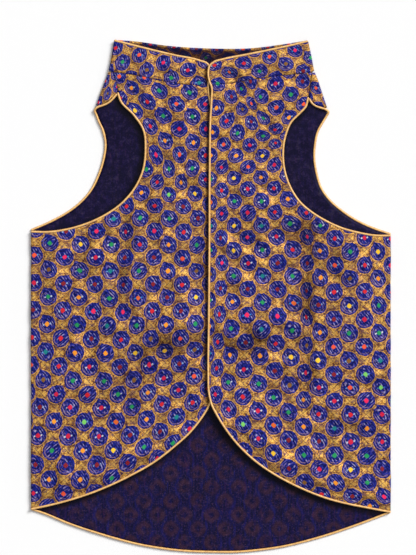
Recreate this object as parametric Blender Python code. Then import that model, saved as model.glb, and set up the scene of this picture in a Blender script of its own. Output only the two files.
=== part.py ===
"""A sleeveless brocade waistcoat with a standing collar, laid flat on its back.

X runs across the garment, +Y from its hem to its collar, and +Z up from the surface it lies on. The origin is the
middle of its outline, on that surface. All sizes below are millimetres. The fronts lie on the lined back and lap at
the centre, the right one (at +X) on top, and narrow satin piping runs along the open edges.
"""
import math

import bmesh
import bpy
import numpy as np

MM = 0.001

# Cloth and trim
BACK_WALL = 1.2
LINING_WALL = 1.0
FRONT_WALL = 1.5
COLLAR_WALL = 2.0
PIPING_WIDTH = 3.0
GAP = 0.3
FACET_ALLOWANCE = 0.15
NECK_GAP = GAP + FACET_ALLOWANCE
PIPING_INSET = PIPING_WIDTH / 2 + GAP + FACET_ALLOWANCE

# Heights of the middle of each layer
BACK_LEVEL = BACK_WALL / 2
LINING_LEVEL = BACK_WALL + GAP + LINING_WALL / 2
LOWER_COLLAR_LEVEL = COLLAR_WALL / 2
LOWER_PIPING_LEVEL = PIPING_WIDTH / 2
EDGE_LEVEL = LOWER_PIPING_LEVEL + PIPING_WIDTH + GAP
LEFT_LAP_LEVEL = LINING_LEVEL + LINING_WALL / 2 + GAP + PIPING_WIDTH / 2
RIGHT_LAP_LEVEL = LEFT_LAP_LEVEL + PIPING_WIDTH + GAP
CROWN = 2.4
CROWN_REACH = 42.0
LAP_HALF_WIDTH = 10.0
LAP_REACH = 30.0
FOLD_FADE = 26.0

# Outline that both sides share
HALF_WIDTH = 249.5
SIDE_INSET = FRONT_WALL / 2 + (EDGE_LEVEL - BACK_LEVEL) / 2
SIDE_LINE = HALF_WIDTH - SIDE_INSET
SIDE_SEAM_ANGLE = 2 * GAP / (EDGE_LEVEL - BACK_LEVEL)

# Routes of the piping, or of an edge without it, each through (x, y) points
LEFT_EDGES = {
    "collar_top": ((-134.0, 353.5), (-110.0, 347.5), (-80.0, 340.0), (-50.0, 333.0), (-15.0, 325.5)),
    "centre": ((-5.0, 321.5), (-1.5, 315.5), (-1.5, 304.0), (-3.5, 293.0), (-3.5, 284.0), (-1.5, 271.0), (4.0, 243.0),
               (5.5, 150.0), (5.5, 0.0), (4.5, -80.0), (1.5, -131.0), (-2.5, -152.0)),
    "hem": ((-10.0, -165.0), (-20.0, -179.0), (-30.0, -190.5), (-50.0, -208.5), (-80.0, -231.5), (-110.0, -248.5),
            (-140.0, -263.0), (-170.0, -275.0), (-200.0, -284.5), (-230.0, -292.0), (-249.5, -296.0)),
    "armhole_front": ((-249.5, 88.5), (-225.0, 88.0), (-200.0, 91.5), (-175.0, 98.5), (-150.0, 109.5),
                      (-120.0, 131.0), (-105.0, 149.5), (-94.5, 172.0), (-90.5, 200.0), (-93.5, 230.0),
                      (-106.5, 250.0), (-125.0, 270.0), (-129.0, 281.5)),
    "armhole_back": ((-158.5, 250.0), (-155.5, 242.0), (-150.0, 230.0), (-146.0, 210.0), (-148.5, 190.0),
                     (-154.5, 170.0), (-166.5, 145.5), (-185.5, 125.0), (-200.0, 114.5), (-220.0, 103.5),
                     (-249.5, 90.5)),
    "cap": ((-130.5, 279.0), (-135.0, 273.5), (-141.0, 268.0), (-150.0, 263.5), (-157.0, 261.0)),
    "tip": (-161.0, 257.0),
    "shoulder_fold": ((-159.0, 263.9), (-150.8, 286.0), (-141.6, 310.0)),
    "collar_fold": ((-141.2, 312.0), (-134.0, 353.0)),
    "shoulder_seam": ((-128.8, 284.4), (-135.6, 308.8)),
    "neck_seam": ((-141.0, 310.6), (-98.5, 304.2), (-62.0, 296.0), (-30.0, 291.8), (-3.0, 291.0)),
}
RIGHT_EDGES = {
    "collar_top": ((134.5, 352.5), (110.0, 346.5), (80.0, 340.0), (50.0, 334.0), (16.0, 327.0)),
    "centre": ((4.5, 323.5), (-2.0, 317.5), (-3.5, 309.5), (-2.0, 297.0), (1.0, 289.0), (1.0, 272.0), (-0.5, 245.0),
               (-1.5, 180.0), (-2.0, 60.0), (-3.0, -50.0), (-3.5, -108.0), (-2.5, -135.0), (1.0, -150.0)),
    "hem": ((10.5, -168.5), (21.0, -185.0), (36.0, -204.5), (50.0, -219.0), (70.0, -235.5), (90.0, -248.5),
            (110.0, -259.5), (135.0, -271.0), (160.0, -280.5), (190.0, -288.5), (220.0, -294.5), (249.5, -300.0)),
    "armhole_front": ((249.5, 83.0), (230.0, 83.0), (205.0, 87.0), (180.0, 94.0), (156.5, 105.0), (140.5, 115.0),
                      (124.0, 129.0), (112.5, 145.5), (103.0, 170.0), (100.0, 195.0), (103.0, 220.0),
                      (111.0, 240.0), (124.0, 253.5), (131.5, 262.0), (135.0, 275.0)),
    "armhole_back": ((160.5, 249.0), (154.5, 239.0), (149.0, 229.0), (144.5, 210.0), (143.5, 190.0),
                     (146.5, 170.0), (152.5, 150.0), (166.5, 130.5), (180.5, 118.5), (200.5, 105.0),
                     (220.0, 95.5), (249.5, 85.0)),
    "cap": ((138.0, 270.5), (140.5, 266.5), (146.0, 262.5), (153.0, 260.0), (159.0, 258.0)),
    "tip": (163.0, 254.5),
    "shoulder_fold": ((161.2, 260.6), (152.8, 286.0), (144.2, 309.4)),
    "collar_fold": ((143.4, 311.6), (135.4, 352.0)),
    "shoulder_seam": ((135.2, 277.2), (140.2, 307.8)),
    "neck_seam": ((143.6, 309.6), (100.0, 304.8), (64.0, 300.2), (38.0, 296.0), (3.0, 291.0)),
}
BACK_HEM = ((-249.5, -296.0), (-230.0, -302.5), (-200.0, -315.0), (-165.0, -327.0), (-130.0, -337.5),
            (-100.0, -345.0), (-65.0, -351.0), (-30.0, -354.5), (5.0, -355.5), (35.0, -355.5), (65.0, -353.0),
            (100.0, -348.0), (130.0, -341.0), (160.0, -332.5), (190.0, -322.5), (220.0, -311.5), (249.5, -300.0))
BACK_COLLAR_TOP = ((-134.0, 354.6), (-106.0, 352.6), (-60.0, 346.4), (0.0, 342.6), (53.0, 342.8), (102.0, 348.6),
                   (135.4, 354.0))
BACK_NECK_SEAM = ((-141.0, 310.6), (-70.0, 304.0), (0.0, 302.0), (70.0, 304.0), (143.6, 309.6))

# Where the patches of cloth meet: on a front's armhole, on its centre edge, where its hem turns up to that edge, and
# on the back's armhole
MEETING_PLACES = {
    "left": {"armhole": (-120.0, 131.0), "centre": (5.5, 150.0), "hem": (-30.0, -190.5), "back": (-166.0, 146.0)},
    "right": {"armhole": (124.0, 129.0), "centre": (-1.5, 150.0), "hem": (36.0, -204.5), "back": (156.0, 146.0)},
}

# Places inside the cloth, which tell on which side of an edge the cloth lies
FRONT_MIDDLE_X = 60.0
NECK_MIDDLE = (0.0, 300.0)
SHOULDER_MIDDLE = (148.0, 290.0)

# Corners: how much of the armhole and cap the corner at the tip takes, and the collar's upper corners at its folds
TIP_CORNER = 4
COLLAR_FRONT_CORNER = (0.0, -1.6)
COLLAR_BACK_CORNER = (0.0, 1.4)
LINING_NECK_DROP = 3.0

# The largest folds of the fronts and the collar: a ridge has a height above 0 and a trough one below it
FOLD_COLUMNS = ("x1", "y1", "x2", "y2", "width", "height")
FOLDS = {
    "left": (
        (-126.0, 104.0, -124.0, -18.0, 15.0, -2.2),
        (-116.0, -84.0, -20.0, -64.0, 14.0, -2.0),
        (-150.0, -127.0, -40.0, -130.0, 16.0, -1.3),
        (-120.0, 12.0, -14.0, -18.0, 20.0, 1.1),
        (-200.0, -196.0, -90.0, -190.0, 18.0, 0.9),
        (-40.0, 160.0, -34.0, 70.0, 16.0, -1.1),
        (-120.0, 300.0, -70.0, 316.0, 10.0, -0.9),
    ),
    "right": (
        (134.0, 106.0, 136.0, -142.0, 14.0, -2.4),
        (20.0, -62.0, 106.0, -61.0, 13.0, -2.0),
        (56.0, 84.0, 110.0, 80.0, 11.0, -1.3),
        (212.0, -196.0, 236.0, -198.0, 9.0, -0.9),
        (30.0, -6.0, 108.0, 4.0, 20.0, 1.1),
        (40.0, -140.0, 60.0, -176.0, 22.0, 1.0),
        (170.0, 60.0, 176.0, -80.0, 18.0, 0.9),
        (18.0, 326.0, 34.0, 306.0, 8.0, -1.6),
        (82.0, 210.0, 70.0, 190.0, 16.0, -1.1),
    ),
}

# Divisions of the cloth's grids
COLUMNS_UNDER_ARMHOLE = 9
COLUMNS_UNDER_NECK = 8
ROWS_TO_ARMHOLE = 20
ROWS_BY_ARMHOLE = 17
ROWS_BY_SHOULDER = 3
BACK_COLUMNS_UNDER_ARMHOLE = 7
BACK_COLUMNS_BETWEEN = 10
BACK_ROWS_TO_ARMHOLE = 8
COLLAR_ROWS = 4
COLLAR_COLUMNS = 12
BACK_COLLAR_COLUMNS = 12
WRAP_COLUMNS = 5
SEAM_STEPS = 4
FOLD_STEPS = 6
CURVE_STEP = 1.0
COARSE_STEP = 6
PIPING_STEP = 18.0
PIPING_TURN = math.radians(9)
PIPING_SIDES = 2

# Finishes: colour and roughness
BROCADE = ((0.16, 0.12, 0.20, 1.0), 0.55)
LINING = ((0.010, 0.009, 0.075, 1.0), 0.6)
SATIN = ((0.80, 0.47, 0.18, 1.0), 0.4)


def smooth(value):
    """0 below 0 and 1 above 1, with a soft start and end between."""
    value = np.clip(value, 0.0, 1.0)
    return value * value * (3.0 - 2.0 * value)


def smooth_curve(points, step=CURVE_STEP):
    """Evenly spaced points on a smooth curve through the given ones."""
    points = np.array(points, float)
    lengths = np.linalg.norm(np.diff(points, axis=0), axis=1)
    knots = np.concatenate(([0.0], np.cumsum(lengths)))
    tangents = np.gradient(points, knots, axis=0)
    places = np.linspace(0.0, knots[-1], max(int(knots[-1] / step), 2) + 1)
    k = np.clip(np.searchsorted(knots, places, side="right") - 1, 0, len(lengths) - 1)
    span = lengths[k][:, None]
    t = (places - knots[k])[:, None] / span
    start = (1.0 + 2.0 * t) * (1.0 - t) ** 2 * points[k] + t * (1.0 - t) ** 2 * span * tangents[k]
    end = t * t * (3.0 - 2.0 * t) * points[k + 1] + t * t * (t - 1.0) * span * tangents[k + 1]
    return start + end


def spaced(curve, count):
    """The curve as count even steps, with both of its ends."""
    along = np.concatenate(([0.0], np.cumsum(np.linalg.norm(np.diff(curve, axis=0), axis=1))))
    places = np.linspace(0.0, along[-1], count + 1)
    return np.stack([np.interp(places, along, curve[:, axis]) for axis in range(curve.shape[1])], axis=1)


def nearest(curve, place):
    """Index of the curve's point nearest to a place."""
    return int(np.argmin(np.linalg.norm(curve - np.array(place, float), axis=1)))


def stretch(curve, start, end):
    """The part of a curve from the place nearest to start to the one nearest to end."""
    first, last = nearest(curve, start), nearest(curve, end)
    return curve[first:last + 1] if first <= last else curve[last:first + 1][::-1]


def level_with(curve, place):
    """The curve's point beside a place, at the place's own y."""
    k = nearest(curve, place)
    part = curve[max(k - 3, 0):k + 4]
    part = part[np.argsort(part[:, 1])]
    return np.array([np.interp(place[1], part[:, 1], part[:, 0]), place[1]])


def moved_in(curve, distance, centre):
    """The curve moved sideways by a distance, to the side where centre lies."""
    along = np.gradient(curve, axis=0)
    along /= np.linalg.norm(along, axis=1)[:, None]
    across = np.stack([-along[:, 1], along[:, 0]], axis=1)
    middle = len(curve) // 2
    sign = 1.0 if np.dot(across[middle], np.array(centre) - curve[middle]) > 0.0 else -1.0
    return curve + across * distance * sign


def joined(*curves):
    """Curves end to end, each starting where the one before it ends."""
    parts = [curves[0]]
    for curve in curves[1:]:
        skip = 1 if np.linalg.norm(curve[0] - parts[-1][-1]) < 1e-6 else 0
        parts.append(curve[skip:])
    return np.concatenate(parts)


def line(start, end):
    """A straight run between two places, as a curve."""
    return np.array([start, end], float)


def coons(bottom, top, left, right):
    """A grid whose four edges are the given rows and columns of points."""
    u = np.linspace(0.0, 1.0, len(bottom))[None, :, None]
    v = np.linspace(0.0, 1.0, len(left))[:, None, None]
    across = (1.0 - u) * left[:, None, :] + u * right[:, None, :]
    upward = (1.0 - v) * bottom[None, :, :] + v * top[None, :, :]
    corners = ((1.0 - u) * (1.0 - v) * bottom[0] + u * (1.0 - v) * bottom[-1]
               + (1.0 - u) * v * top[0] + u * v * top[-1])
    return across + upward - corners


def distance_to(curve, x, y):
    """Distance in plan from each place to the nearest point of a curve."""
    starts, ends = curve[:-1], curve[1:]
    run = ends - starts
    dx, dy = x[..., None] - starts[:, 0], y[..., None] - starts[:, 1]
    share = np.clip((dx * run[:, 0] + dy * run[:, 1]) / np.maximum((run ** 2).sum(axis=1), 1e-9), 0.0, 1.0)
    return np.hypot(dx - share * run[:, 0], dy - share * run[:, 1]).min(axis=-1)


class Side:
    """One half of the garment: its edges, and the height of its top layer."""

    def __init__(self, name, edges):
        self.name = name
        self.sign = -1.0 if name == "left" else 1.0
        self.edges = edges
        self.places = MEETING_PLACES[name]
        self.middle = (self.sign * FRONT_MIDDLE_X, 0.0)
        self.lap_level = LEFT_LAP_LEVEL if name == "left" else RIGHT_LAP_LEVEL
        self.opening = smooth_curve(edges["collar_top"] + edges["centre"] + edges["hem"])
        self.armhole = smooth_curve(edges["armhole_front"])
        self.armhole_back = smooth_curve((edges["tip"],) + edges["armhole_back"])
        self.cap = smooth_curve(edges["cap"])
        self.shoulder_fold = smooth_curve(edges["shoulder_fold"])
        self.collar_fold = line(*edges["collar_fold"])
        self.shoulder_seam = line(*edges["shoulder_seam"])
        self.neck_seam = smooth_curve(edges["neck_seam"])
        side_fold = line((self.sign * HALF_WIDTH, self.opening[-1][1]), (self.sign * HALF_WIDTH, self.armhole[0][1]))
        outer_fold = joined(self.shoulder_fold[::COARSE_STEP], self.collar_fold)
        self.outer_folds = [side_fold, outer_fold]
        self.open_edges = [self.opening[::COARSE_STEP], self.armhole[::COARSE_STEP]]

    def top_height(self, x, y):
        """Height of the middle of the top layer: low at its edges, with its folds and the lap at the centre."""
        to_fold = np.minimum(*[distance_to(fold, x, y) for fold in self.outer_folds])
        to_edge = np.minimum(*[distance_to(edge, x, y) for edge in self.open_edges])
        height = EDGE_LEVEL + CROWN * smooth(np.minimum(to_fold, to_edge) / CROWN_REACH)
        relief = np.zeros_like(height)
        for row in FOLDS[self.name]:
            fold = dict(zip(FOLD_COLUMNS, row))
            off = distance_to(line((fold["x1"], fold["y1"]), (fold["x2"], fold["y2"])), x, y)
            relief += fold["height"] * np.exp(-((off / fold["width"]) ** 2))
        height += relief * smooth(to_fold / FOLD_FADE) * smooth(to_edge / FOLD_FADE)
        lap = 1.0 - smooth((x * self.sign - LAP_HALF_WIDTH) / LAP_REACH)
        return height + (self.lap_level - height) * lap

    def on_top(self, grid):
        """A plan grid raised to the top layer."""
        return np.dstack([grid, self.top_height(grid[..., 0], grid[..., 1])])

    def side_rows(self, low, high, rows):
        """Points up the side fold's inner line between two heights on the garment."""
        x = self.sign * SIDE_LINE
        return spaced(line((x, low), (x, high)), rows)


SIDES = {"left": Side("left", LEFT_EDGES), "right": Side("right", RIGHT_EDGES)}


def at_level(grid, level):
    """A plan grid at one height."""
    return np.dstack([grid, np.full(grid.shape[:2], level)])


def round_fold(upper, lower, outward, start, end, steps):
    """Columns that carry a column of points round a fold to another, between two angles."""
    half, middle = (upper - lower) / 2.0, (upper + lower) / 2.0
    radius = half[:, 2:3]
    outward = np.append(np.array(outward, float) / np.linalg.norm(outward), 0.0)
    angles = np.linspace(start, end, steps + 1)
    return np.stack([middle + half * math.cos(a) + outward * radius * math.sin(a) for a in angles], axis=1)


def material(name, finish):
    """A plain material of one colour and roughness."""
    colour, roughness = finish
    result = bpy.data.materials.get(name) or bpy.data.materials.new(name)
    result.use_nodes = True
    shader = result.node_tree.nodes["Principled BSDF"]
    shader.inputs["Base Color"].default_value = colour
    shader.inputs["Roughness"].default_value = roughness
    result.diffuse_color = colour
    return result


def cloth(name, grids, wall, slot, finish):
    """A closed wall of even thickness round the middle surface that one or more grids make."""
    surface = bmesh.new()
    for grid in grids:
        rows = [[surface.verts.new(point * MM) for point in row] for row in grid]
        for lower, upper in zip(rows, rows[1:]):
            for k in range(len(lower) - 1):
                surface.faces.new((lower[k], lower[k + 1], upper[k + 1], upper[k]))
    bmesh.ops.remove_doubles(surface, verts=surface.verts, dist=0.02 * MM)
    bmesh.ops.recalc_face_normals(surface, faces=surface.faces)
    mesh = bpy.data.meshes.new(name)
    surface.to_mesh(mesh)
    surface.free()
    mesh.shade_smooth()
    mesh.materials.append(material(slot, finish))
    piece = bpy.data.objects.new(name, mesh)
    bpy.context.collection.objects.link(piece)
    thickness = piece.modifiers.new("wall", "SOLIDIFY")
    thickness.thickness = wall * MM
    thickness.offset = 0.0
    thickness.use_even_offset = True
    return piece


def piping(name, route):
    """A round tube of satin along a route, with more points where the route turns."""
    run = np.diff(route, axis=0)
    along = run / np.linalg.norm(run, axis=1)[:, None]
    turns = np.arccos(np.clip((along[1:] * along[:-1]).sum(axis=1), -1.0, 1.0))
    kept, turned, passed = [0], 0.0, 0.0
    for k in range(1, len(route) - 1):
        turned += turns[k - 1]
        passed += np.linalg.norm(run[k - 1])
        if turned > PIPING_TURN or passed > PIPING_STEP:
            kept.append(k)
            turned = passed = 0.0
    kept.append(len(route) - 1)
    curve = bpy.data.curves.new(name, "CURVE")
    curve.dimensions = "3D"
    curve.bevel_depth = PIPING_WIDTH / 2 * MM
    curve.bevel_resolution = PIPING_SIDES
    curve.use_fill_caps = True
    spline = curve.splines.new("POLY")
    spline.points.add(len(kept) - 1)
    for point, k in zip(spline.points, kept):
        point.co = (*(route[k] * MM), 1.0)
    curve.materials.append(material("piping", SATIN))
    piece = bpy.data.objects.new(name, curve)
    bpy.context.collection.objects.link(piece)
    return piece


def from_side(side, curve, end):
    """A curve that starts at the garment's side, cut at the side fold's inner line, as far as end."""
    part = stretch(curve, (side.sign * SIDE_LINE, curve[0][1]), end)
    part[0] = (side.sign * SIDE_LINE, min(part[0][1], curve[0][1]) if part[0][1] > 0.0 else part[0][1])
    return part


def front_panel(side):
    """One front: a patch up to the armhole, a patch beside it, and the half of the side fold that it covers."""
    opening = moved_in(side.opening, PIPING_INSET, side.middle)
    armhole = moved_in(side.armhole, PIPING_INSET, side.middle)
    neck = side.neck_seam - np.array([0.0, NECK_GAP / 2])
    seam = side.shoulder_seam - np.array([side.sign * GAP / 2, 0.0])
    neck_start = neck[nearest(neck, seam[-1])]
    neck_end = level_with(opening, neck[-1])
    hem = from_side(side, opening[::-1], side.places["hem"])
    under = from_side(side, armhole, side.places["armhole"])
    cross = line(under[-1], opening[nearest(opening, side.places["centre"])])
    body = coons(
        bottom=spaced(hem, COLUMNS_UNDER_ARMHOLE + COLUMNS_UNDER_NECK),
        top=joined(spaced(under, COLUMNS_UNDER_ARMHOLE), spaced(cross, COLUMNS_UNDER_NECK)),
        left=side.side_rows(hem[0][1], under[0][1], ROWS_TO_ARMHOLE),
        right=spaced(stretch(opening, hem[-1], cross[-1]), ROWS_TO_ARMHOLE),
    )
    beside = stretch(armhole, under[-1], armhole[-1])
    neck_edge = joined(stretch(neck, neck_start, neck[-2]), line(neck[-2], neck_end))
    centre = joined(stretch(opening, cross[-1], neck_end)[:-2], neck_end[None])
    chest = coons(
        bottom=spaced(cross, COLUMNS_UNDER_NECK),
        top=spaced(neck_edge, COLUMNS_UNDER_NECK),
        left=joined(
            spaced(beside, ROWS_BY_ARMHOLE - 1),
            line(beside[-1], seam[0]),
            spaced(line(seam[0], neck_start), ROWS_BY_SHOULDER),
        ),
        right=spaced(centre, ROWS_BY_ARMHOLE + ROWS_BY_SHOULDER),
    )
    body, chest = side.on_top(body), side.on_top(chest)
    upper = body[:, 0]
    lower = upper * (1.0, 1.0, 0.0) + (0.0, 0.0, BACK_LEVEL)
    fold = round_fold(upper, lower, (side.sign, 0.0), 0.0, math.pi / 2 - SIDE_SEAM_ANGLE, SEAM_STEPS)
    return [body, chest, fold]


def back_outline(side, inset):
    """The back's lower armhole, upper armhole and shoulder on one side, moved in from the piping."""
    armhole = moved_in(side.armhole_back, inset, side.middle)
    meeting = armhole[nearest(armhole, side.places["back"])]
    under = from_side(side, armhole[::-1], meeting)
    fold_inset = BACK_WALL / 2 + (EDGE_LEVEL - BACK_LEVEL) / 2 + inset - PIPING_INSET
    shoulder = moved_in(side.shoulder_fold, fold_inset, NECK_MIDDLE)
    tip = armhole[TIP_CORNER]
    beside = joined(spaced(stretch(armhole, meeting, tip), ROWS_BY_ARMHOLE - 1), line(tip, shoulder[0]))
    return under, beside, shoulder


def back_patches(inset, neck_drop):
    """The back's two plan patches: hem to armholes, and from there to the neck seam."""
    hem = moved_in(smooth_curve(BACK_HEM), inset, NECK_MIDDLE)
    hem[0], hem[-1] = (-SIDE_LINE, hem[0][1]), (SIDE_LINE, hem[-1][1])
    neck = smooth_curve(BACK_NECK_SEAM) - np.array([0.0, neck_drop])
    (under_l, beside_l, shoulder_l), (under_r, beside_r, shoulder_r) = [
        back_outline(side, inset) for side in SIDES.values()]
    between = spaced(line(under_l[-1], under_r[-1]), BACK_COLUMNS_BETWEEN)
    body = coons(
        bottom=spaced(hem, 2 * BACK_COLUMNS_UNDER_ARMHOLE + BACK_COLUMNS_BETWEEN),
        top=joined(
            spaced(under_l, BACK_COLUMNS_UNDER_ARMHOLE),
            between,
            spaced(under_r[::-1], BACK_COLUMNS_UNDER_ARMHOLE),
        ),
        left=SIDES["left"].side_rows(hem[0][1], under_l[0][1], BACK_ROWS_TO_ARMHOLE),
        right=SIDES["right"].side_rows(hem[-1][1], under_r[0][1], BACK_ROWS_TO_ARMHOLE),
    )
    neck_line = spaced(neck, BACK_COLUMNS_BETWEEN)
    neck_line[0], neck_line[-1] = shoulder_l[-1], shoulder_r[-1]
    chest = coons(
        bottom=between,
        top=neck_line,
        left=joined(beside_l, spaced(shoulder_l, ROWS_BY_SHOULDER)),
        right=joined(beside_r, spaced(shoulder_r, ROWS_BY_SHOULDER)),
    )
    return body, chest


def shoulder_wrap(side, lower):
    """The back's cloth round one shoulder fold and forward to the shoulder seam."""
    cap = moved_in(side.cap, PIPING_INSET, (side.sign * SHOULDER_MIDDLE[0], SHOULDER_MIDDLE[1]))
    seam = side.shoulder_seam + np.array([side.sign * GAP / 2, 0.0])
    neck = side.neck_seam - np.array([0.0, NECK_GAP / 2])
    seam_top = neck[nearest(neck, seam[-1])] + np.array([side.sign * GAP / 2, 0.0])
    fold_line = lower[:, :2]
    cap_edge = joined(stretch(cap, cap[0], fold_line[0])[:-TIP_CORNER], fold_line[:1])
    wrap = coons(
        bottom=joined(line(seam[0], cap[0]), spaced(cap_edge, WRAP_COLUMNS - 1)),
        top=spaced(line(seam_top, fold_line[-1]), WRAP_COLUMNS),
        left=spaced(line(seam[0], seam_top), ROWS_BY_SHOULDER),
        right=fold_line,
    )
    wrap = side.on_top(wrap)
    outward = fold_line[1] - moved_in(fold_line, 1.0, NECK_MIDDLE)[1]
    return [wrap, round_fold(wrap[:, -1], lower, outward, 0.0, math.pi, FOLD_STEPS)]


def back_panel():
    """The back: flat on the surface, turned up round the side folds and forward over the shoulders."""
    body, chest = back_patches(PIPING_INSET, NECK_GAP / 2)
    body, chest = at_level(body, BACK_LEVEL), at_level(chest, BACK_LEVEL)
    grids = [body, chest]
    for side, column in zip(SIDES.values(), (0, -1)):
        lower = body[:, column]
        upper = lower * (1.0, 1.0, 0.0) + (0.0, 0.0, EDGE_LEVEL)
        turn = math.pi / 2 + SIDE_SEAM_ANGLE
        grids.append(round_fold(upper, lower, (side.sign, 0.0), turn, math.pi, SEAM_STEPS))
        grids += shoulder_wrap(side, chest[-ROWS_BY_SHOULDER - 1:, column])
    return grids


def collar_band():
    """The collar: a flattened band, open at the centre front and folded at both ends of its back."""
    back_top = smooth_curve(BACK_COLLAR_TOP)
    back_seam = smooth_curve(BACK_NECK_SEAM) + np.array([0.0, NECK_GAP / 2])
    fold_inset = COLLAR_WALL / 2 + (EDGE_LEVEL - LOWER_COLLAR_LEVEL) / 2
    grids, fold_lines = [], []
    for side in SIDES.values():
        opening = moved_in(side.opening, PIPING_INSET, side.middle)
        seam = side.neck_seam + np.array([0.0, NECK_GAP / 2])
        fold = moved_in(side.collar_fold, fold_inset, NECK_MIDDLE)
        front_corner, back_corner = fold[1] + COLLAR_FRONT_CORNER, fold[1] + COLLAR_BACK_CORNER
        seam = stretch(seam, fold[0], seam[-1])
        seam[-1] = level_with(opening, seam[-1])
        top = stretch(opening, fold[1], side.edges["centre"][1])
        centre = joined(stretch(opening, side.edges["centre"][1], seam[-1])[:-2], seam[-1][None])
        front = side.on_top(coons(
            bottom=spaced(joined(line(fold[0], seam[0]), seam), COLLAR_COLUMNS),
            top=spaced(joined(line(front_corner, top[0]), top), COLLAR_COLUMNS),
            left=spaced(line(fold[0], front_corner), COLLAR_ROWS),
            right=spaced(centre[::-1], COLLAR_ROWS),
        ))
        lower = at_level(spaced(line(fold[0], back_corner), COLLAR_ROWS)[:, None], LOWER_COLLAR_LEVEL)[:, 0]
        grids += [front, round_fold(front[:, 0], lower, (side.sign, 0.0), 0.0, math.pi, FOLD_STEPS)]
        fold_lines.append(lower)
    left, right = [fold[:, :2] for fold in fold_lines]
    bottom, top = spaced(back_seam, BACK_COLLAR_COLUMNS), spaced(back_top, BACK_COLLAR_COLUMNS)
    bottom[0], bottom[-1], top[0], top[-1] = left[0], right[0], left[-1], right[-1]
    grids.append(at_level(coons(bottom, top, left, right), LOWER_COLLAR_LEVEL))
    return grids


def armhole_back_route(side):
    """The piping of one shoulder cap, round its tip to the layer below, and down the back's armhole."""
    cap = [(x, y, EDGE_LEVEL) for x, y in side.edges["cap"]]
    tip = (*side.edges["tip"], (EDGE_LEVEL + LOWER_PIPING_LEVEL) / 2)
    below = [(x, y, LOWER_PIPING_LEVEL) for x, y in side.edges["armhole_back"]]
    route = smooth_curve([*cap, tip, *below])
    route[:, 2] = np.maximum(route[:, 2], LOWER_PIPING_LEVEL)
    return route


def build():
    """All pieces of the garment."""
    for leftover in list(bpy.data.objects):
        bpy.data.objects.remove(leftover, do_unlink=True)
    cloth("back", back_panel(), BACK_WALL, "brocade", BROCADE)
    lining_inset = PIPING_INSET + GAP
    lining = [at_level(patch, LINING_LEVEL) for patch in back_patches(lining_inset, LINING_NECK_DROP)]
    cloth("back_lining", lining, LINING_WALL, "lining", LINING)
    cloth("collar", collar_band(), COLLAR_WALL, "brocade", BROCADE)
    for name, side in SIDES.items():
        cloth(f"front_{name}", front_panel(side), FRONT_WALL, "brocade", BROCADE)
        piping(f"piping_front_{name}", side.on_top(side.opening[:, None])[:, 0])
        piping(f"piping_armhole_{name}_front", side.on_top(side.armhole[:, None])[:, 0])
        piping(f"piping_armhole_{name}_back", armhole_back_route(side))
    hem = smooth_curve(BACK_HEM)
    piping("piping_hem_back", at_level(hem[:, None], LOWER_PIPING_LEVEL)[:, 0])


build()
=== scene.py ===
"""A sleeveless brocade waistcoat laid flat: cloth, lining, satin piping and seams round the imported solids.

The garment's own sizes are millimetres, in the frame's axes: X across, +Y towards the collar, +Z up.
"""
import math

import bmesh
import bpy
import numpy as np
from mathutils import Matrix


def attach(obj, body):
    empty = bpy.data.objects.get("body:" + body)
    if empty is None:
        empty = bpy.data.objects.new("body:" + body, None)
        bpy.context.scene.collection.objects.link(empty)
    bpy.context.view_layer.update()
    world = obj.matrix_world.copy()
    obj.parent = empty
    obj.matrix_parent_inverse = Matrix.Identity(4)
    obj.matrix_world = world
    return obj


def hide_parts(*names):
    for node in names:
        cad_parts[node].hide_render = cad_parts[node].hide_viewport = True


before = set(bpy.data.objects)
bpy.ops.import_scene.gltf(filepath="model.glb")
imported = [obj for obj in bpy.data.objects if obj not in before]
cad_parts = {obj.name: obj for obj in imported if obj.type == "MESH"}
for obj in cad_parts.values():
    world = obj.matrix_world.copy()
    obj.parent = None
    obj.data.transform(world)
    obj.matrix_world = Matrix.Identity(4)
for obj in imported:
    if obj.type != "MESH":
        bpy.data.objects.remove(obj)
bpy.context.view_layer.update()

MM = 0.001

# The photo: where its pixels lie on the garment, in millimetres
PHOTO_SCALE = 1.386
PHOTO_MIDDLE = (210.8, 295.5)
PHOTO_SIZE = (416, 555)

# Cloth and trim
BACK_WALL = 1.1
LINING_WALL = 0.8
FRONT_WALL = 1.5
COLLAR_WALL = 1.9
PIPING_WIDTH = 3.1
GAP = 0.12
NECK_GAP = 0.12
NECK_SHIFT = np.array([0.0, NECK_GAP / 2])
EDGE_TUCK = 1.25

# Heights of the middle of each layer
BACK_LEVEL = 0.6
LINING_LEVEL = 1.9
LOWER_COLLAR_LEVEL = 1.0
LOWER_PIPING_LEVEL = 1.55
EDGE_LEVEL = 4.8
LEFT_LAP_LEVEL = 4.3
RIGHT_LAP_LEVEL = 7.6
CROWN = 2.4
CROWN_REACH = 42.0
LAP_HALF_WIDTH = 10.0
LAP_REACH = 30.0
FOLD_FADE = 20.0

# Outline that both sides share
HALF_WIDTH = 249.5
SIDE_INSET = FRONT_WALL / 2 + (EDGE_LEVEL - BACK_LEVEL) / 2
SIDE_LINE = HALF_WIDTH - SIDE_INSET
SIDE_SEAM_ANGLE = 0.12

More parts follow.
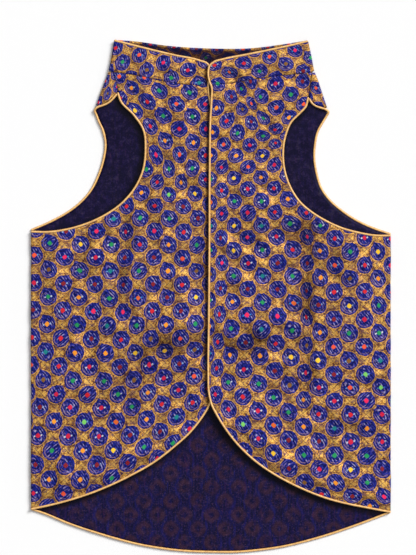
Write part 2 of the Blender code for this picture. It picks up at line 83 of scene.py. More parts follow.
# Routes of the piping, or of an edge without it, each through (x, y) points
LEFT_EDGES = {
    "collar_top": ((-134.0, 353.5), (-110.0, 347.5), (-80.0, 340.0), (-50.0, 333.0), (-15.0, 325.5)),
    "centre": ((-5.0, 321.5), (-1.5, 315.5), (-1.5, 304.0), (-3.5, 293.0), (-3.5, 284.0), (-1.5, 271.0),
               (4.0, 243.0), (5.5, 150.0), (5.5, 0.0), (4.5, -80.0), (1.5, -131.0), (-2.5, -152.0)),
    "hem": ((-10.0, -165.0), (-20.0, -179.0), (-30.0, -190.5), (-50.0, -208.5), (-80.0, -231.5),
            (-110.0, -248.5), (-140.0, -263.0), (-170.0, -275.0), (-200.0, -284.5), (-230.0, -292.0),
            (-249.5, -296.0)),
    "armhole_front": ((-249.5, 88.5), (-225.0, 88.0), (-200.0, 91.5), (-175.0, 98.5), (-150.0, 109.5),
                      (-120.0, 131.0), (-105.0, 149.5), (-94.5, 172.0), (-90.5, 200.0), (-93.5, 230.0),
                      (-106.5, 250.0), (-125.0, 270.0), (-129.0, 281.5)),
    "armhole_back": ((-158.5, 250.0), (-155.5, 242.0), (-150.0, 230.0), (-146.0, 210.0), (-148.5, 190.0),
                     (-154.5, 170.0), (-166.5, 145.5), (-185.5, 125.0), (-200.0, 114.5), (-220.0, 103.5),
                     (-249.5, 90.5)),
    "cap": ((-130.5, 279.0), (-135.0, 273.5), (-141.0, 268.0), (-150.0, 263.5), (-157.0, 261.0)),
    "tip": (-161.0, 257.0),
    "shoulder_fold": ((-159.0, 263.9), (-150.8, 286.0), (-141.6, 310.0)),
    "collar_fold": ((-141.2, 312.0), (-134.0, 353.0)),
    "shoulder_seam": ((-128.8, 284.4), (-135.6, 308.8)),
    "neck_seam": ((-141.0, 310.6), (-98.5, 304.2), (-62.0, 296.0), (-30.0, 291.8), (-3.0, 291.0)),
}
RIGHT_EDGES = {
    "collar_top": ((134.5, 352.5), (110.0, 346.5), (80.0, 340.0), (50.0, 334.0), (16.0, 327.0)),
    "centre": ((4.5, 323.5), (-2.0, 317.5), (-3.5, 309.5), (-2.0, 297.0), (1.0, 289.0), (1.0, 272.0),
               (-0.5, 245.0), (-1.5, 180.0), (-2.0, 60.0), (-3.0, -50.0), (-3.5, -108.0), (-2.5, -135.0),
               (1.0, -150.0)),
    "hem": ((10.5, -168.5), (21.0, -185.0), (36.0, -204.5), (50.0, -219.0), (70.0, -235.5), (90.0, -248.5),
            (110.0, -259.5), (135.0, -271.0), (160.0, -280.5), (190.0, -288.5), (220.0, -294.5),
            (249.5, -300.0)),
    "armhole_front": ((249.5, 83.0), (230.0, 83.0), (205.0, 87.0), (180.0, 94.0), (156.5, 105.0),
                      (140.5, 115.0), (124.0, 129.0), (112.5, 145.5), (103.0, 170.0), (100.0, 195.0),
                      (103.0, 220.0), (111.0, 240.0), (124.0, 253.5), (131.5, 262.0), (135.0, 275.0)),
    "armhole_back": ((160.5, 249.0), (154.5, 239.0), (149.0, 229.0), (144.5, 210.0), (143.5, 190.0),
                     (146.5, 170.0), (152.5, 150.0), (166.5, 130.5), (180.5, 118.5), (200.5, 105.0),
                     (220.0, 95.5), (249.5, 85.0)),
    "cap": ((138.0, 270.5), (140.5, 266.5), (146.0, 262.5), (153.0, 260.0), (159.0, 258.0)),
    "tip": (163.0, 254.5),
    "shoulder_fold": ((161.2, 260.6), (152.8, 286.0), (144.2, 309.4)),
    "collar_fold": ((143.4, 311.6), (135.4, 352.0)),
    "shoulder_seam": ((135.2, 277.2), (140.2, 307.8)),
    "neck_seam": ((143.6, 309.6), (100.0, 304.8), (64.0, 300.2), (38.0, 296.0), (3.0, 291.0)),
}
BACK_HEM = ((-249.5, -296.0), (-230.0, -302.5), (-200.0, -315.0), (-165.0, -327.0), (-130.0, -337.5),
            (-100.0, -345.0), (-65.0, -351.0), (-30.0, -354.5), (5.0, -355.5), (35.0, -355.5),
            (65.0, -353.0), (100.0, -348.0), (130.0, -341.0), (160.0, -332.5), (190.0, -322.5),
            (220.0, -311.5), (249.5, -300.0))
BACK_COLLAR_TOP = ((-134.0, 354.6), (-106.0, 352.6), (-60.0, 346.4), (0.0, 342.6), (53.0, 342.8),
                   (102.0, 348.6), (135.4, 354.0))
BACK_NECK_SEAM = ((-141.0, 310.6), (-70.0, 304.0), (0.0, 302.0), (70.0, 304.0), (143.6, 309.6))

# Where the patches of cloth meet
MEETING_PLACES = {
    "left": {"armhole": (-120.0, 131.0), "centre": (5.5, 150.0), "hem": (-30.0, -190.5),
             "back": (-166.0, 146.0)},
    "right": {"armhole": (124.0, 129.0), "centre": (-1.5, 150.0), "hem": (36.0, -204.5),
              "back": (156.0, 146.0)},
}
FRONT_MIDDLE_X = 60.0
NECK_MIDDLE = (0.0, 300.0)
SHOULDER_MIDDLE = (148.0, 290.0)
TIP_CORNER = 4
BACK_TIP_CORNER = 1
COLLAR_FRONT_CORNER = (0.0, -1.6)
COLLAR_BACK_CORNER = (0.0, 1.4)
LINING_NECK_DROP = 3.0

# Creases of the fronts and the collar: a ridge has a height above 0 and a trough one below it. A pinch is
# the length of cloth that a crease takes up, and a step is how much higher one side lies.
CREASE_COLUMNS = ("x1", "y1", "x2", "y2", "width", "height", "pinch", "step")
CREASES = {
    "left": (
        (-125.0, 108.0, -123.0, -16.0, 9.0, -2.6, 2.5, -1.6),
        (-145.0, 96.0, -142.0, 20.0, 13.0, 1.4, 0.0, 0.0),
        (-104.0, 90.0, -106.0, 10.0, 13.0, 1.3, 0.0, 0.0),
        (-106.0, -88.0, -62.0, -74.0, 13.0, -3.2, 1.6, 0.0),
        (-62.0, -74.0, -10.0, -62.0, 13.0, -3.2, 1.8, 0.0),
        (-108.0, -44.0, -12.0, -34.0, 26.0, 4.6, 0.0, 0.0),
        (-150.0, -120.0, -40.0, -124.0, 20.0, -2.4, 0.8, 0.0),
        (-176.0, -150.0, -104.0, -154.0, 12.0, -2.0, 1.0, 0.0),
        (-228.0, -44.0, -140.0, -52.0, 12.0, -1.7, 0.8, 0.0),
        (-215.0, -96.0, -178.0, -92.0, 10.0, -1.3, 0.8, 0.0),
        (-196.0, -262.0, -60.0, -226.0, 38.0, 4.6, 0.0, 0.0),
        (-74.0, -206.0, -22.0, -166.0, 9.0, -1.8, 0.6, 0.0),
        (-62.0, 48.0, -12.0, 38.0, 9.0, -1.9, 1.0, 0.0),
        (-30.0, 164.0, -24.0, 146.0, 10.0, -1.9, 1.2, 0.0),
        (-34.0, 96.0, -28.0, 62.0, 9.0, -2.2, 1.0, 0.0),
        (-18.0, 232.0, -24.0, 196.0, 8.0, -1.7, 0.8, 0.0),
        (-88.0, 236.0, -58.0, 204.0, 9.0, -1.5, 1.0, 0.0),
        (-62.0, 186.0, -38.0, 156.0, 7.0, -2.4, 2.0, 0.0),
        (-80.0, 196.0, -88.0, 176.0, 9.0, -1.4, 0.8, 0.0),
        (-110.0, 84.0, -82.0, 96.0, 9.0, -1.3, 0.6, 0.0),
        (-136.0, 290.0, -112.0, 282.0, 9.0, -2.0, 1.0, 0.0),
        (-104.0, 318.0, -62.0, 306.0, 8.0, -1.5, 0.8, 0.0),
        (-26.0, 312.0, -8.0, 300.0, 7.0, -2.4, 1.4, 0.0),
        (-58.0, 320.0, -30.0, 312.0, 9.0, 1.0, 0.0, 0.0),
        (-196.0, 62.0, -168.0, 18.0, 12.0, -1.5, 0.6, 0.0),
        (-48.0, 20.0, -30.0, -8.0, 10.0, 1.0, 0.0, 0.0),
    ),
    "right": (
        (133.0, 108.0, 134.0, -20.0, 9.5, -2.3, 4.6, 3.6),
        (134.0, -20.0, 131.0, -142.0, 9.5, -2.2, 3.4, 3.2),
        (150.0, 92.0, 166.0, 24.0, 24.0, -2.4, 0.8, 0.0),
        (12.0, -70.0, 60.0, -70.0, 13.0, -3.1, 1.8, 0.0),
        (60.0, -70.0, 104.0, -78.0, 13.0, -2.9, 1.4, 0.0),
        (16.0, -40.0, 104.0, -36.0, 26.0, 4.6, 0.0, 0.0),
        (26.0, -98.0, 84.0, -100.0, 14.0, 1.4, 0.0, 0.0),
        (42.0, 87.0, 118.0, 83.0, 14.0, -3.0, 1.6, 0.0),
        (56.0, 126.0, 106.0, 112.0, 9.0, -1.4, 0.8, 0.0),
        (172.0, -188.0, 242.0, -196.0, 13.0, -2.9, 1.2, 0.0),
        (204.0, -130.0, 242.0, -136.0, 11.0, -1.8, 0.8, 0.0),
        (96.0, -262.0, 210.0, -290.0, 36.0, 4.4, 0.0, 0.0),
        (40.0, -140.0, 62.0, -176.0, 20.0, 1.6, 0.0, 0.0),
        (92.0, -112.0, 104.0, -136.0, 10.0, -1.8, 0.8, 0.0),
        (118.0, -188.0, 152.0, -196.0, 10.0, -1.3, 0.8, 0.0),
        (196.0, 56.0, 200.0, -30.0, 20.0, 1.6, 0.0, 0.0),
        (30.0, 52.0, 60.0, 40.0, 8.0, -1.2, 0.6, 0.0),
        (25.0, 317.0, 41.0, 299.0, 9.0, -3.8, 2.4, 0.0),
        (44.0, 300.0, 54.0, 292.0, 7.0, -1.6, 1.0, 0.0),
        (52.0, 316.0, 92.0, 322.0, 9.0, 1.0, 0.0, 0.0),
        (126.0, 306.0, 146.0, 292.0, 9.0, -1.8, 0.6, 0.0),
        (60.0, 262.0, 74.0, 246.0, 6.0, -2.0, 2.4, 0.0),
        (78.0, 228.0, 96.0, 200.0, 8.5, -3.2, 3.0, 0.0),
        (84.0, 196.0, 88.0, 176.0, 8.0, -1.8, 1.0, 0.0),
        (34.0, 216.0, 44.0, 204.0, 8.0, -1.3, 0.8, 0.0),
        (66.0, 168.0, 84.0, 148.0, 8.0, -1.6, 0.8, 0.0),
        (14.0, 60.0, 26.0, 40.0, 8.0, -1.4, 0.8, 0.0),
        (84.0, 300.0, 112.0, 296.0, 8.0, -1.2, 0.6, 0.0),
    ),
}

# Creases: how they wander, how their width and strength change, and how far their ends fade
CREASE_WANDER = 3.0
WANDER_LENGTHS = (23.0, 9.0, 19.0)
WIDTH_SWING, WIDTH_LENGTH = 0.18, 17.0
CREASE_STRENGTH, STRENGTH_SWING, STRENGTH_LENGTH = 0.85, 0.2, 13.0
END_FADE = 1.3
STEP_REACH = 34.0

# Creases: how deep they go and how low the cloth may lie, and how dark the shade painted into their hollows
# is
DEEPEST = 3.4
LEAST_LEVEL = 3.5
LEAST_SOFTNESS = 0.3
CREASE_SHADE = (0.12, 0.03)
MOST_HOLLOW = 0.70
HOLLOW_SPREAD = 1.5

# Soft ripples over all the cloth
RIPPLE_LENGTHS = (14.0, 60.0)
RIPPLE_SHARE = 0.007
RIPPLE_WAVES = 26
RIPPLE_AT_EDGES = 0.3

# Where an edge stands off what is below it, as (x, y, reach, rise)
LIFTS = {
    "left": ((-52.0, -205.0, 40.0, 1.6), (-140.0, -262.0, 58.0, 3.4)),
    "right": ((22.0, -182.0, 38.0, 6.2), (74.0, -232.0, 42.0, 3.4), (140.0, -276.0, 52.0, 3.4),
              (-2.0, 60.0, 60.0, 1.2)),
}

# Small gathers beside an edge or a seam, and the dip along it, then the gathers' height and reach
GATHERS = {
    "edge": {"pitch": 1.9, "sway": 2.0, "sway_length": 11.0, "swell": 0.5, "start": 3.0,
             "dip": 0.35, "width": 2.4},
    "seam": {"pitch": 2.3, "sway": 1.5, "sway_length": 14.0, "swell": 0.0, "start": 2.0,
             "dip": 0.45, "width": 1.7},
}
PUCKER = 0.16
PUCKER_REACH = 5.0
SWELL_LENGTH = 29.0

# Painted shade beside an edge that lies over a layer: how far it drifts from the edge, how wide it is and how
# deep
LAP_SHADE = (2.4, 4.2, 1.0)
LINING_SHADE = (3.6, 7.0, 1.0)

# Painted shade inside the back collar: at its top fold and below it, where it starts and over what height,
# how uneven
COLLAR_SHADE = (0.30, 1.12)
COLLAR_SHADE_START = 1.0
COLLAR_SHADE_REACH = 3.0
COLLAR_UNEVEN = 0.30
COLLAR_UNEVEN_LENGTHS = (7.0, 5.0, 17.0)

# The back lining's unevenness and its repeat
LINING_SEED = 7
LINING_RIPPLE_LENGTHS = (26.0, 110.0)
LINING_RIPPLE = 0.3
LINING_SWING = 0.5
LINING_TUCK = 1.65
LINING_COLUMN = 37.6
LINING_ROW = 38.4
LINING_OFFSET = np.array([17.6, 16.3])

# Piping: the spacing and the sides of its rings, the gap where a shoulder cap's piping starts, its slanting
# wrinkles, its slow swells and its rounded ends
PIPING_STEP = 0.9
PIPING_SIDES = 12
CAP_START_GAP = 2.4
WRINKLE_PITCH = 0.62
WRINKLE_SWAY, WRINKLE_SWAY_LENGTH = 1.6, 7.0
WRINKLE_DEPTH = 0.018
SWELL_LENGTHS = (6.1, 2.7)
SWELL_DEPTH = 0.03
END_START, END_LENGTH = 0.35, 1.4

# Rosettes of the brocade, as (row, first column, (x, y) of each in the photo's pixels), rows counted down
ROSETTES = {
    "left": (
        (-7.0, 3.0, ((119.3, 76.4),)),
        (-6.5, 3.5, ((131.5, 87.7), (159.3, 90.9), (189.5, 92.5))),
        (-6.0, 4.0, ((147.5, 101.8), (176.5, 104.1), (205.2, 104.1))),
        (-5.5, 3.5, ((134.9, 110.5), (163.4, 115.9), (192.5, 116.8))),
        (-5.0, 4.0, ((150.2, 126.4), (179.3, 129.1), (206.1, 129.1))),
        (-4.5, 4.5, ((165.0, 140.7), (193.2, 142.7))),
        (-4.0, 5.0, ((179.5, 154.4), (205.6, 155.3))),
        (-3.5, 3.5, ((146.9, 169.5),)),
        (-3.5, 5.5, ((192.3, 168.4),)),
        (-3.0, 4.0, ((157.2, 182.3), (180.9, 182.5), (205.6, 179.5))),
        (-2.5, 3.5, ((141.4, 192.7), (168.9, 194.7), (195.0, 193.6))),
        (-2.0, 3.0, ((126.5, 206.4), (154.9, 205.9), (183.2, 206.8))),
        (-1.5, 2.5, ((113.2, 219.1), (140.2, 217.9), (169.3, 218.6), (198.1, 218.2))),
        (-1.0, 1.0, ((66.0, 231.3), (96.6, 231.3), (126.1, 231.9), (154.5, 231.3), (183.5, 232.3))),
        (-0.5, 5.5, ((196.9, 245.0),)),
        (0.0, 0.0, ((34.3, 255.2), (64.6, 257.0), (95.8, 257.3), (125.2, 257.9), (153.9, 257.3),
                    (182.4, 258.5))),
        (1.0, 0.0, ((34.1, 282.9), (63.5, 283.7), (95.0, 284.3), (124.1, 285.0), (153.2, 284.0),
                    (182.0, 284.8))),
        (1.5, 5.5, ((195.8, 297.1),)),
        (2.0, 0.0, ((33.1, 309.8), (62.8, 310.4), (93.5, 311.3), (123.1, 312.1), (152.3, 311.0),
                    (181.0, 311.0))),
        (3.0, 0.0, ((32.0, 337.5), (60.9, 338.4), (91.3, 339.0), (121.0, 339.7), (150.6, 338.4),
                    (180.1, 338.1))),
        (3.5, 5.5, ((194.8, 350.0),)),
        (4.0, 0.0, ((31.0, 365.0), (58.9, 366.3), (89.6, 366.9), (119.8, 366.9), (149.4, 365.0),
                    (179.4, 363.8))),
        (5.0, 1.0, ((56.5, 394.3), (87.4, 394.6), (118.1, 394.4), (147.9, 392.8), (178.3, 390.3))),
        (5.5, 0.5, ((40.0, 407.1), (70.1, 407.3), (101.4, 408.1), (132.0, 406.9), (161.9, 404.0),
                    (192.6, 402.6))),
        (6.0, 1.0, ((54.1, 421.5), (84.4, 421.9), (116.0, 422.1), (146.6, 419.5), (176.4, 416.9))),
        (7.0, 1.0, ((52.1, 450.4), (82.9, 450.6), (113.5, 450.0), (144.0, 446.9), (172.9, 442.9))),
        (8.0, 1.0, ((49.1, 479.4), (80.3, 479.4), (111.6, 477.8))),
        (8.5, 0.5, ((33.6, 493.1), (63.6, 493.5))),
    ),
    "right": (
        (-8.0, 3.0, ((275.5, 84.1), (302.5, 81.3))),
        (-7.5, 0.5, ((217.8, 84.2),)),
        (-7.5, 2.5, ((260.2, 97.1), (290.9, 94.7))),
        (-7.0, 1.0, ((231.4, 96.8),)),
        (-7.0, 3.0, ((276.4, 107.3), (303.6, 104.1))),
        (-6.5, 0.5, ((216.4, 108.4), (242.5, 109.3), (262.9, 118.5), (288.9, 117.5))),
        (-6.0, 1.0, ((226.4, 121.2), (251.1, 121.8), (275.6, 129.5))),
        (-5.5, 0.5, ((212.7, 132.3), (237.3, 133.3), (262.9, 136.4))),
        (-5.0, 1.0, ((223.6, 144.5), (249.8, 145.2), (275.0, 143.2))),
        (-4.5, 0.5, ((211.1, 155.7), (236.0, 156.1), (262.3, 156.1))),
        (-4.0, 1.0, ((221.4, 167.4), (248.0, 167.0), (274.0, 165.0))),
        (-3.5, 0.5, ((211.0, 179.0),)),
        (-3.0, 1.0, ((221.5, 190.5), (247.5, 188.9), (273.9, 188.3))),
        (-2.5, 0.5, ((211.1, 202.4), (234.5, 201.4), (261.5, 201.4), (287.8, 199.1))),
        (-2.0, 1.0, ((221.5, 213.8), (247.4, 212.7), (274.7, 212.3), (306.5, 212.9))),
        (-1.5, 0.5, ((211.2, 225.7), (234.1, 225.5), (261.6, 225.5), (289.8, 223.4), (320.5, 225.5))),
        (-1.0, 1.0, ((220.4, 238.3), (247.4, 237.5), (276.3, 236.9), (307.0, 236.9), (335.0, 238.5),
                     (364.5, 237.9))),
        (-0.5, 0.5, ((210.9, 250.0),)),
        (-0.5, 3.5, ((292.6, 249.8), (320.3, 251.0))),
        (0.5, 0.5, ((210.5, 274.3),)),
        (0.0, 1.0, ((221.6, 262.9), (248.3, 263.1), (277.5, 263.1), (307.0, 263.1), (335.0, 265.3),
                    (364.8, 265.3), (390.4, 265.6))),
        (1.0, 1.0, ((220.4, 288.5), (247.6, 289.0), (277.5, 289.4), (306.6, 290.6), (333.9, 292.1),
                    (364.5, 291.6))),
        (1.5, 0.5, ((210.3, 300.0),)),
        (1.5, 3.5, ((292.9, 303.1), (318.5, 305.0))),
        (2.5, 0.5, ((209.8, 326.4),)),
        (2.0, 1.0, ((219.4, 314.3), (247.0, 315.0), (277.3, 316.3), (306.8, 317.1), (333.9, 319.4),
                    (364.5, 319.4))),
        (3.0, 1.0, ((217.6, 341.5), (245.6, 341.9), (275.4, 343.4), (306.4, 345.3), (333.3, 346.9),
                    (364.1, 346.6))),
        (3.5, 0.5, ((209.3, 353.4),)),
        (3.5, 3.5, ((291.0, 357.3), (318.1, 360.4))),
        (4.0, 1.0, ((216.6, 368.1), (243.9, 369.4), (274.5, 370.9), (305.1, 372.9), (333.8, 374.4),
                    (365.5, 374.4))),
        (5.0, 1.0, ((215.4, 394.4), (242.6, 396.6), (273.5, 397.5), (303.5, 399.8), (334.0, 401.1),
                    (366.1, 400.6))),
        (6.0, 2.0, ((243.0, 424.0), (273.5, 425.3), (303.6, 426.6), (334.4, 428.1), (366.9, 428.3))),
        (7.0, 3.0, ((273.3, 453.1), (303.9, 455.0), (334.4, 455.3), (366.6, 456.0))),
        (7.5, 6.5, ((382.1, 468.8),)),
        (8.0, 4.0, ((304.5, 482.5), (335.3, 482.8), (367.3, 482.5))),
        (8.5, 4.5, ((321.6, 494.0), (352.3, 496.3), (384.0, 496.8))),
        (9.0, 6.0, ((369.8, 505.6),)),
    ),
    "collar_left": (
        (0.0, -1.0, ((115.8, 48.2), (139.3, 55.0), (163.4, 62.7), (187.7, 70.2))),
        (0.5, -0.5, ((122.6, 62.1), (146.8, 70.5), (171.3, 78.0), (199.0, 83.2))),
        (1.0, 0.0, ((130.0, 79.0),)),
    ),
    "collar_right": (
        (0.0, -1.0, ((244.0, 63.5), (269.5, 56.8), (295.0, 50.2))),
        (0.5, -1.5, ((229.0, 72.2), (259.7, 71.4), (285.7, 64.3), (311.0, 58.0))),
        (1.0, 1.0, ((303.5, 70.9),)),
        (0.0, -2.0, ((214.5, 65.5),)),
    ),
    "collar_back": (
        (0.0, 0.0, ((120.6, 40.2), (150.2, 44.4), (174.0, 47.0), (196.4, 48.6), (216.6, 49.4), (243.0, 49.0),
                    (268.0, 47.0), (288.7, 44.2))),
        (0.5, 0.5, ((136.0, 50.6), (162.0, 53.6), (184.6, 56.0), (206.0, 57.6), (229.6, 57.8), (255.6, 56.4),
                    (278.4, 54.0))),
    ),
    "wrap_left": (
        (0.0, 0.0, ((105.5, 81.0), (117.0, 86.0))),
        (0.5, 0.5, ((107.5, 94.0),)),
        (1.0, 0.0, ((98.5, 102.5), (110.5, 106.0))),
    ),
    "wrap_right": (
        (0.0, 0.0, ((315.9, 88.0), (337.0, 92.0))),
        (0.5, 0.5, ((328.5, 99.5),)),
        (1.0, 0.0, ((318.5, 108.0), (339.0, 112.0))),
    ),
}
ROSETTE_COLUMN = 41.5
ROSETTE_ROW = 36.8
WARP_STIFFNESS = 0.0004
WARP_UNIT = 100.0

# Divisions of the cloth's grids
COLUMNS_UNDER_ARMHOLE = 54
COLUMNS_UNDER_NECK = 52
ROWS_TO_ARMHOLE = 150
ROWS_BY_ARMHOLE = 74
ROWS_BY_SHOULDER = 12
BACK_COLUMNS_UNDER_ARMHOLE = 20
BACK_COLUMNS_BETWEEN = 70
BACK_ROWS_TO_ARMHOLE = 90
COLLAR_ROWS = 22
COLLAR_COLUMNS = 66
BACK_COLLAR_COLUMNS = 100
WRAP_COLUMNS = 16
SEAM_STEPS = 6
FOLD_STEPS = 10
CURVE_STEP = 1.0
COARSE_STEP = 6
EDGE_GRADE = 0.62

# Points closer than this are one
WELD = 0.02

# Colours of the cloth, as a screen shows them, and crease, the colour of the shade painted into the cloth
SCREEN_COLOURS = {
    "blue": (30, 42, 146), "blue_deep": (12, 16, 78), "ink": (6, 7, 44), "lavender": (104, 94, 166),
    "pearl": (196, 186, 208), "rose_grey": (172, 132, 142), "white": (250, 252, 250), "sky": (50, 150, 214),
    "gold": (190, 134, 58), "gold_light": (230, 182, 92), "gold_ring": (226, 172, 90), "umber": (92, 56, 50),
    "plum": (62, 36, 60), "mauve": (114, 82, 92), "crease": (104, 78, 80), "navy": (20, 17, 74),
    "navy_deep": (9, 7, 36), "navy_light": (23, 22, 94), "maroon": (62, 34, 46), "maroon_light": (84, 56, 62),
    "wine": (66, 22, 48), "olive": (62, 54, 74), "satin": (236, 182, 100), "satin_deep": (206, 146, 76),
    # satin_light is also the piping's painted highlight, and the brown after it the painted shade down its
    # sides
    "satin_light": (255, 222, 156), "satin_side_shade": (150, 94, 52), "floor": (241, 241, 241),
}
PLAIN_COLOURS = {"brocade": (140, 110, 100), "lining": (20, 18, 70), "satin": (245, 200, 120)}

# Dots of the rosettes in the mostly red rows and in the mixed ones: the share of a colour, and the colour
RED_DOTS = ((0.28, (202, 14, 56)), (0.26, (208, 26, 38)), (0.26, (128, 16, 26)), (0.12, (240, 84, 46)),
            (0.08, (230, 28, 82)))
MIXED_DOTS = ((0.32, (22, 140, 78)), (0.28, (246, 150, 30)), (0.11, (250, 200, 44)), (0.11, (126, 84, 28)),
              (0.06, (8, 120, 124)), (0.06, (120, 200, 92)), (0.06, (216, 96, 26)))
DOT_CHANGE_ROW = 5.1
DOT_CHANGE_SWING = 2.4
ODD_DOTS = 0.05

# Noises: how many waves to a millimetre, how many layers of finer ones, and how strong those are
NOISES = {
    "thread tone": (1.1, 3.0, 0.7),
    "wobble": (0.16, 1.0, 0.5),
    "fine": (0.75, 1.0, 0.5),
    "dash": (1.0, 1.0, 0.5),
    "depth": (0.30, 2.0, 0.6),
    "rim": (1.0, 2.0, 0.7),
    "speck": (0.42, 2.0, 0.7),
    "patchy": (0.17, 2.0, 0.55),
    "mauve": (0.15, 3.0, 0.7),
    "broad": (0.024, 2.0, 0.55),
    "broken": (0.24, 2.0, 0.6),
    "fleck": (0.23, 2.0, 0.6),
    "lining soft": (0.06, 3.0, 0.6),
    "lining fine": (0.42, 3.0, 0.8),
    "lining cloudy": (0.11, 4.0, 0.75),
    "lining streaks": (1.0, 3.0, 0.65),
    "satin": (0.25, 2.0, 0.6),
}
# Noises drawn out along one way of the cloth: the scale of each in its own X and Y
DRAWN_OUT = {"dash": (0.40, 0.17), "rim": (0.22, 0.22), "broad": (1.0, 1.6), "lining streaks": (0.30, 0.03),
             "satin": (1.0, 0.5)}

# Soft steps: the value at which each starts, and the one at which it is whole
STEPS = {
    "painted_shade": (0.05, 1.0), "deepest painted shade": (1.0, 1.35),
    "inside": (0.45, -0.55), "silk raised": (0.9, -0.6), "ground raised": (0.2, 0.9),
    "streak": (0.0, 0.85), "dark streak": (-0.2, -0.8), "pale": (0.44, 0.55), "bright": (0.55, 0.66),
    "off the dot": (2.2, 4.2), "within the rim": (11.0, 7.0), "rim": (0.50, 0.60), "blue": (0.35, 0.68),
    "tick": (1.7, 0.5), "tick shows": (0.66, 0.90), "dot": (3.5, 2.5), "dot tone": (0.5, 0.8),
    "far ground": (1.4, 4.6), "gold": (0.44, 0.52), "light ground": (0.53, 0.60),
    "mauve patch": (0.53, 0.59), "broad painted shade": (0.48, 0.62), "trellis line": (0.39, 0.46),
    "trellis shows": (0.68, 0.48), "knot shows": (0.40, 0.52), "ring shade": (0.56, 0.46),
    "outline speck": (0.30, 0.52), "outline patch": (0.32, 0.52), "fleck": (0.57, 0.62),
    "near rosette": (6.5, 0.5),
    "plain rows": (-1.0, -3.0), "disc shows": (0.34, 0.56), "lining trellis": (2.8, 0.4),
    "lining trellis shows": (0.38, 0.56), "navy": (0.40, 0.60), "wine": (0.58, 0.72),
    "lining fine": (0.54, 0.66), "lining olive": (0.52, 0.68), "lining deep": (0.58, 0.40),
    "satin": (0.3, 0.7), "satin tone": (0.55, 0.85), "satin top highlight": (1.0, 0.3), "satin side shade": (1.15, 2.1),
}
# Bands: their low and high limits, and how soft those are
BANDS = {
    "outline": (0.30, 1.20, 0.35), "outer arc": (-3.2, -2.2, 0.4), "inner arc": (-5.7, -4.9, 0.4),
    "ring shade": (1.4, 2.4, 0.5), "lining disc": (3.6, 10.2, 2.2),
}
# Tints: the colour that each lays over the cloth, and how strongly. Some lay painted shade, and one a painted
# highlight
TINTS = {
    "deepest painted shade": ("navy_deep", 0.75), "dark streak": ("ink", 0.42), "pale streak": ("lavender", 0.62),
    "bright streak": ("pearl", 0.62), "rim": ("rose_grey", 0.56), "light ground": ("gold_light", 1.0),
    "mauve patch": ("mauve", 0.78), "broad painted shade": ("umber", 0.44), "trellis": ("plum", 0.60),
    "knot": ("blue_deep", 0.65), "ring shade": ("plum", 0.26), "fleck": ("blue_deep", 0.66),
    "outline": ("gold_ring", 0.85), "lining disc": ("maroon", 0.60), "wine": ("wine", 0.45),
    "lining trellis": ("navy_light", 0.55), "upper_rows": ("navy_deep", 0.26), "satin tone": ("satin_light", 0.5),
    "satin top highlight": ("satin_light", 0.35), "satin side shade": ("satin_side_shade", 0.72),
}
# Tints of the lining: the dye, and how strong it is where the lining is figured and in its upper rows
LINING_TINTS = {
    "lining fine": ("maroon_light", 0.60, 0.42),
    "lining olive": ("olive", 0.15, 0.38),
    "lining deep": ("navy_deep", 0.40, 0.85),
}
# How strongly the painted shade darkens the cloth
HOLLOW_SHADE = 0.88

# The brocade's rosette: its size, its leaf tip, the wobble of its place and the roughness of its edge
ROSETTE_RADIUS = 12.1
RADIUS_SWING = 0.9
TIP_REACH = 14.2
TIP_START = 8.5
TIP_LEANS = (0.50, -0.42)
TIP_UP = 0.88
TIP_SLOPES = (0.62, 0.78)
WOBBLE = 0.05
WOBBLE_SHIFT = (37.0, 11.0, 5.0)
EDGE_ROUGHNESS = (1.2, 1.0)

# Its streaks: their two slants, the share of the rosettes that have the second, and how much they bow
SLANTS = ((0.80, 0.60), (-0.68, 0.73))
OTHER_SLANT = 0.14
BOWS = (0.03, 0.16)
STREAK_PITCH = 3.1
DEPTH_PHASE = 3.6
LUCK_PHASE = 6.0
LUCK_SHIFT = 40.0
MOOD_SHIFT = 30.0
INNER_ARC = 0.6
RIM_LIGHT = -0.012

# Its light ticks and its dot
TICK_PLACE = 4.5
TICK_SLANT = -0.2
TICK_LUCK = 0.5
TICK_STRENGTH = 0.80
DOT_SIDES = (1.04, 0.90)
DOT_ROUND, DOT_SQUARE = 0.55, 0.38
DOT_ROUGHNESS = 1.2
DOT_PALE, DOT_WHITE = 0.25, 0.4

# The gold ground's slanting specks, its mottle and its trellis
SPECK_SLANT = 0.35
MOTTLE_SHARES = (0.50, 0.50, 0.10)
TRELLIS = 4.0
TRELLIS_WOBBLE = 0.12

# The lining's faint discs, its wavy trellis and its streaks
DISC_ROUND, DISC_SQUARE = 0.6, 0.32
DISC_ROUGHNESS = 7.0
PLAIN_DISC = 0.15
TRELLIS_PLACE, TRELLIS_BEND = 0.25, -0.10
TRELLIS_PLAIN = 0.7
NAVY_SHARES = (0.4, 0.6)

# Threads: their widths, how high one goes over the other, and how much their height changes their tone
THREADS = {"brocade": 0.62, "lining": 0.45, "satin": 0.5}
WARP_HEIGHT = 0.75
THREAD_TONE = 0.25

# How each cloth takes light: its roughness, then how much the threads' tone changes that and their relief
ROUGHNESS = {"silk": 0.55, "gold": 0.52, "lining": 0.50, "satin": 0.36}
FINISHES = {"brocade": (0.25, 0.5), "lining": (0.3, 0.4), "satin": (0.25, 0.35)}
GOLD_METAL = 0.62
BROCADE_SPECULAR = 0.06
LINING_SPECULAR = 0.08
SATIN_SHEEN = 0.15

# Relief of the threads, the raised silk, the dots and the ground, in millimetres
THREAD_RELIEF = 0.05
SILK_RELIEF = 0.10
DOT_RELIEF = 0.07
GROUND_RELIEF = 0.05
TONE_RELIEF = 0.10
DISC_RELIEF = 0.06
SATIN_RELIEF = 0.15

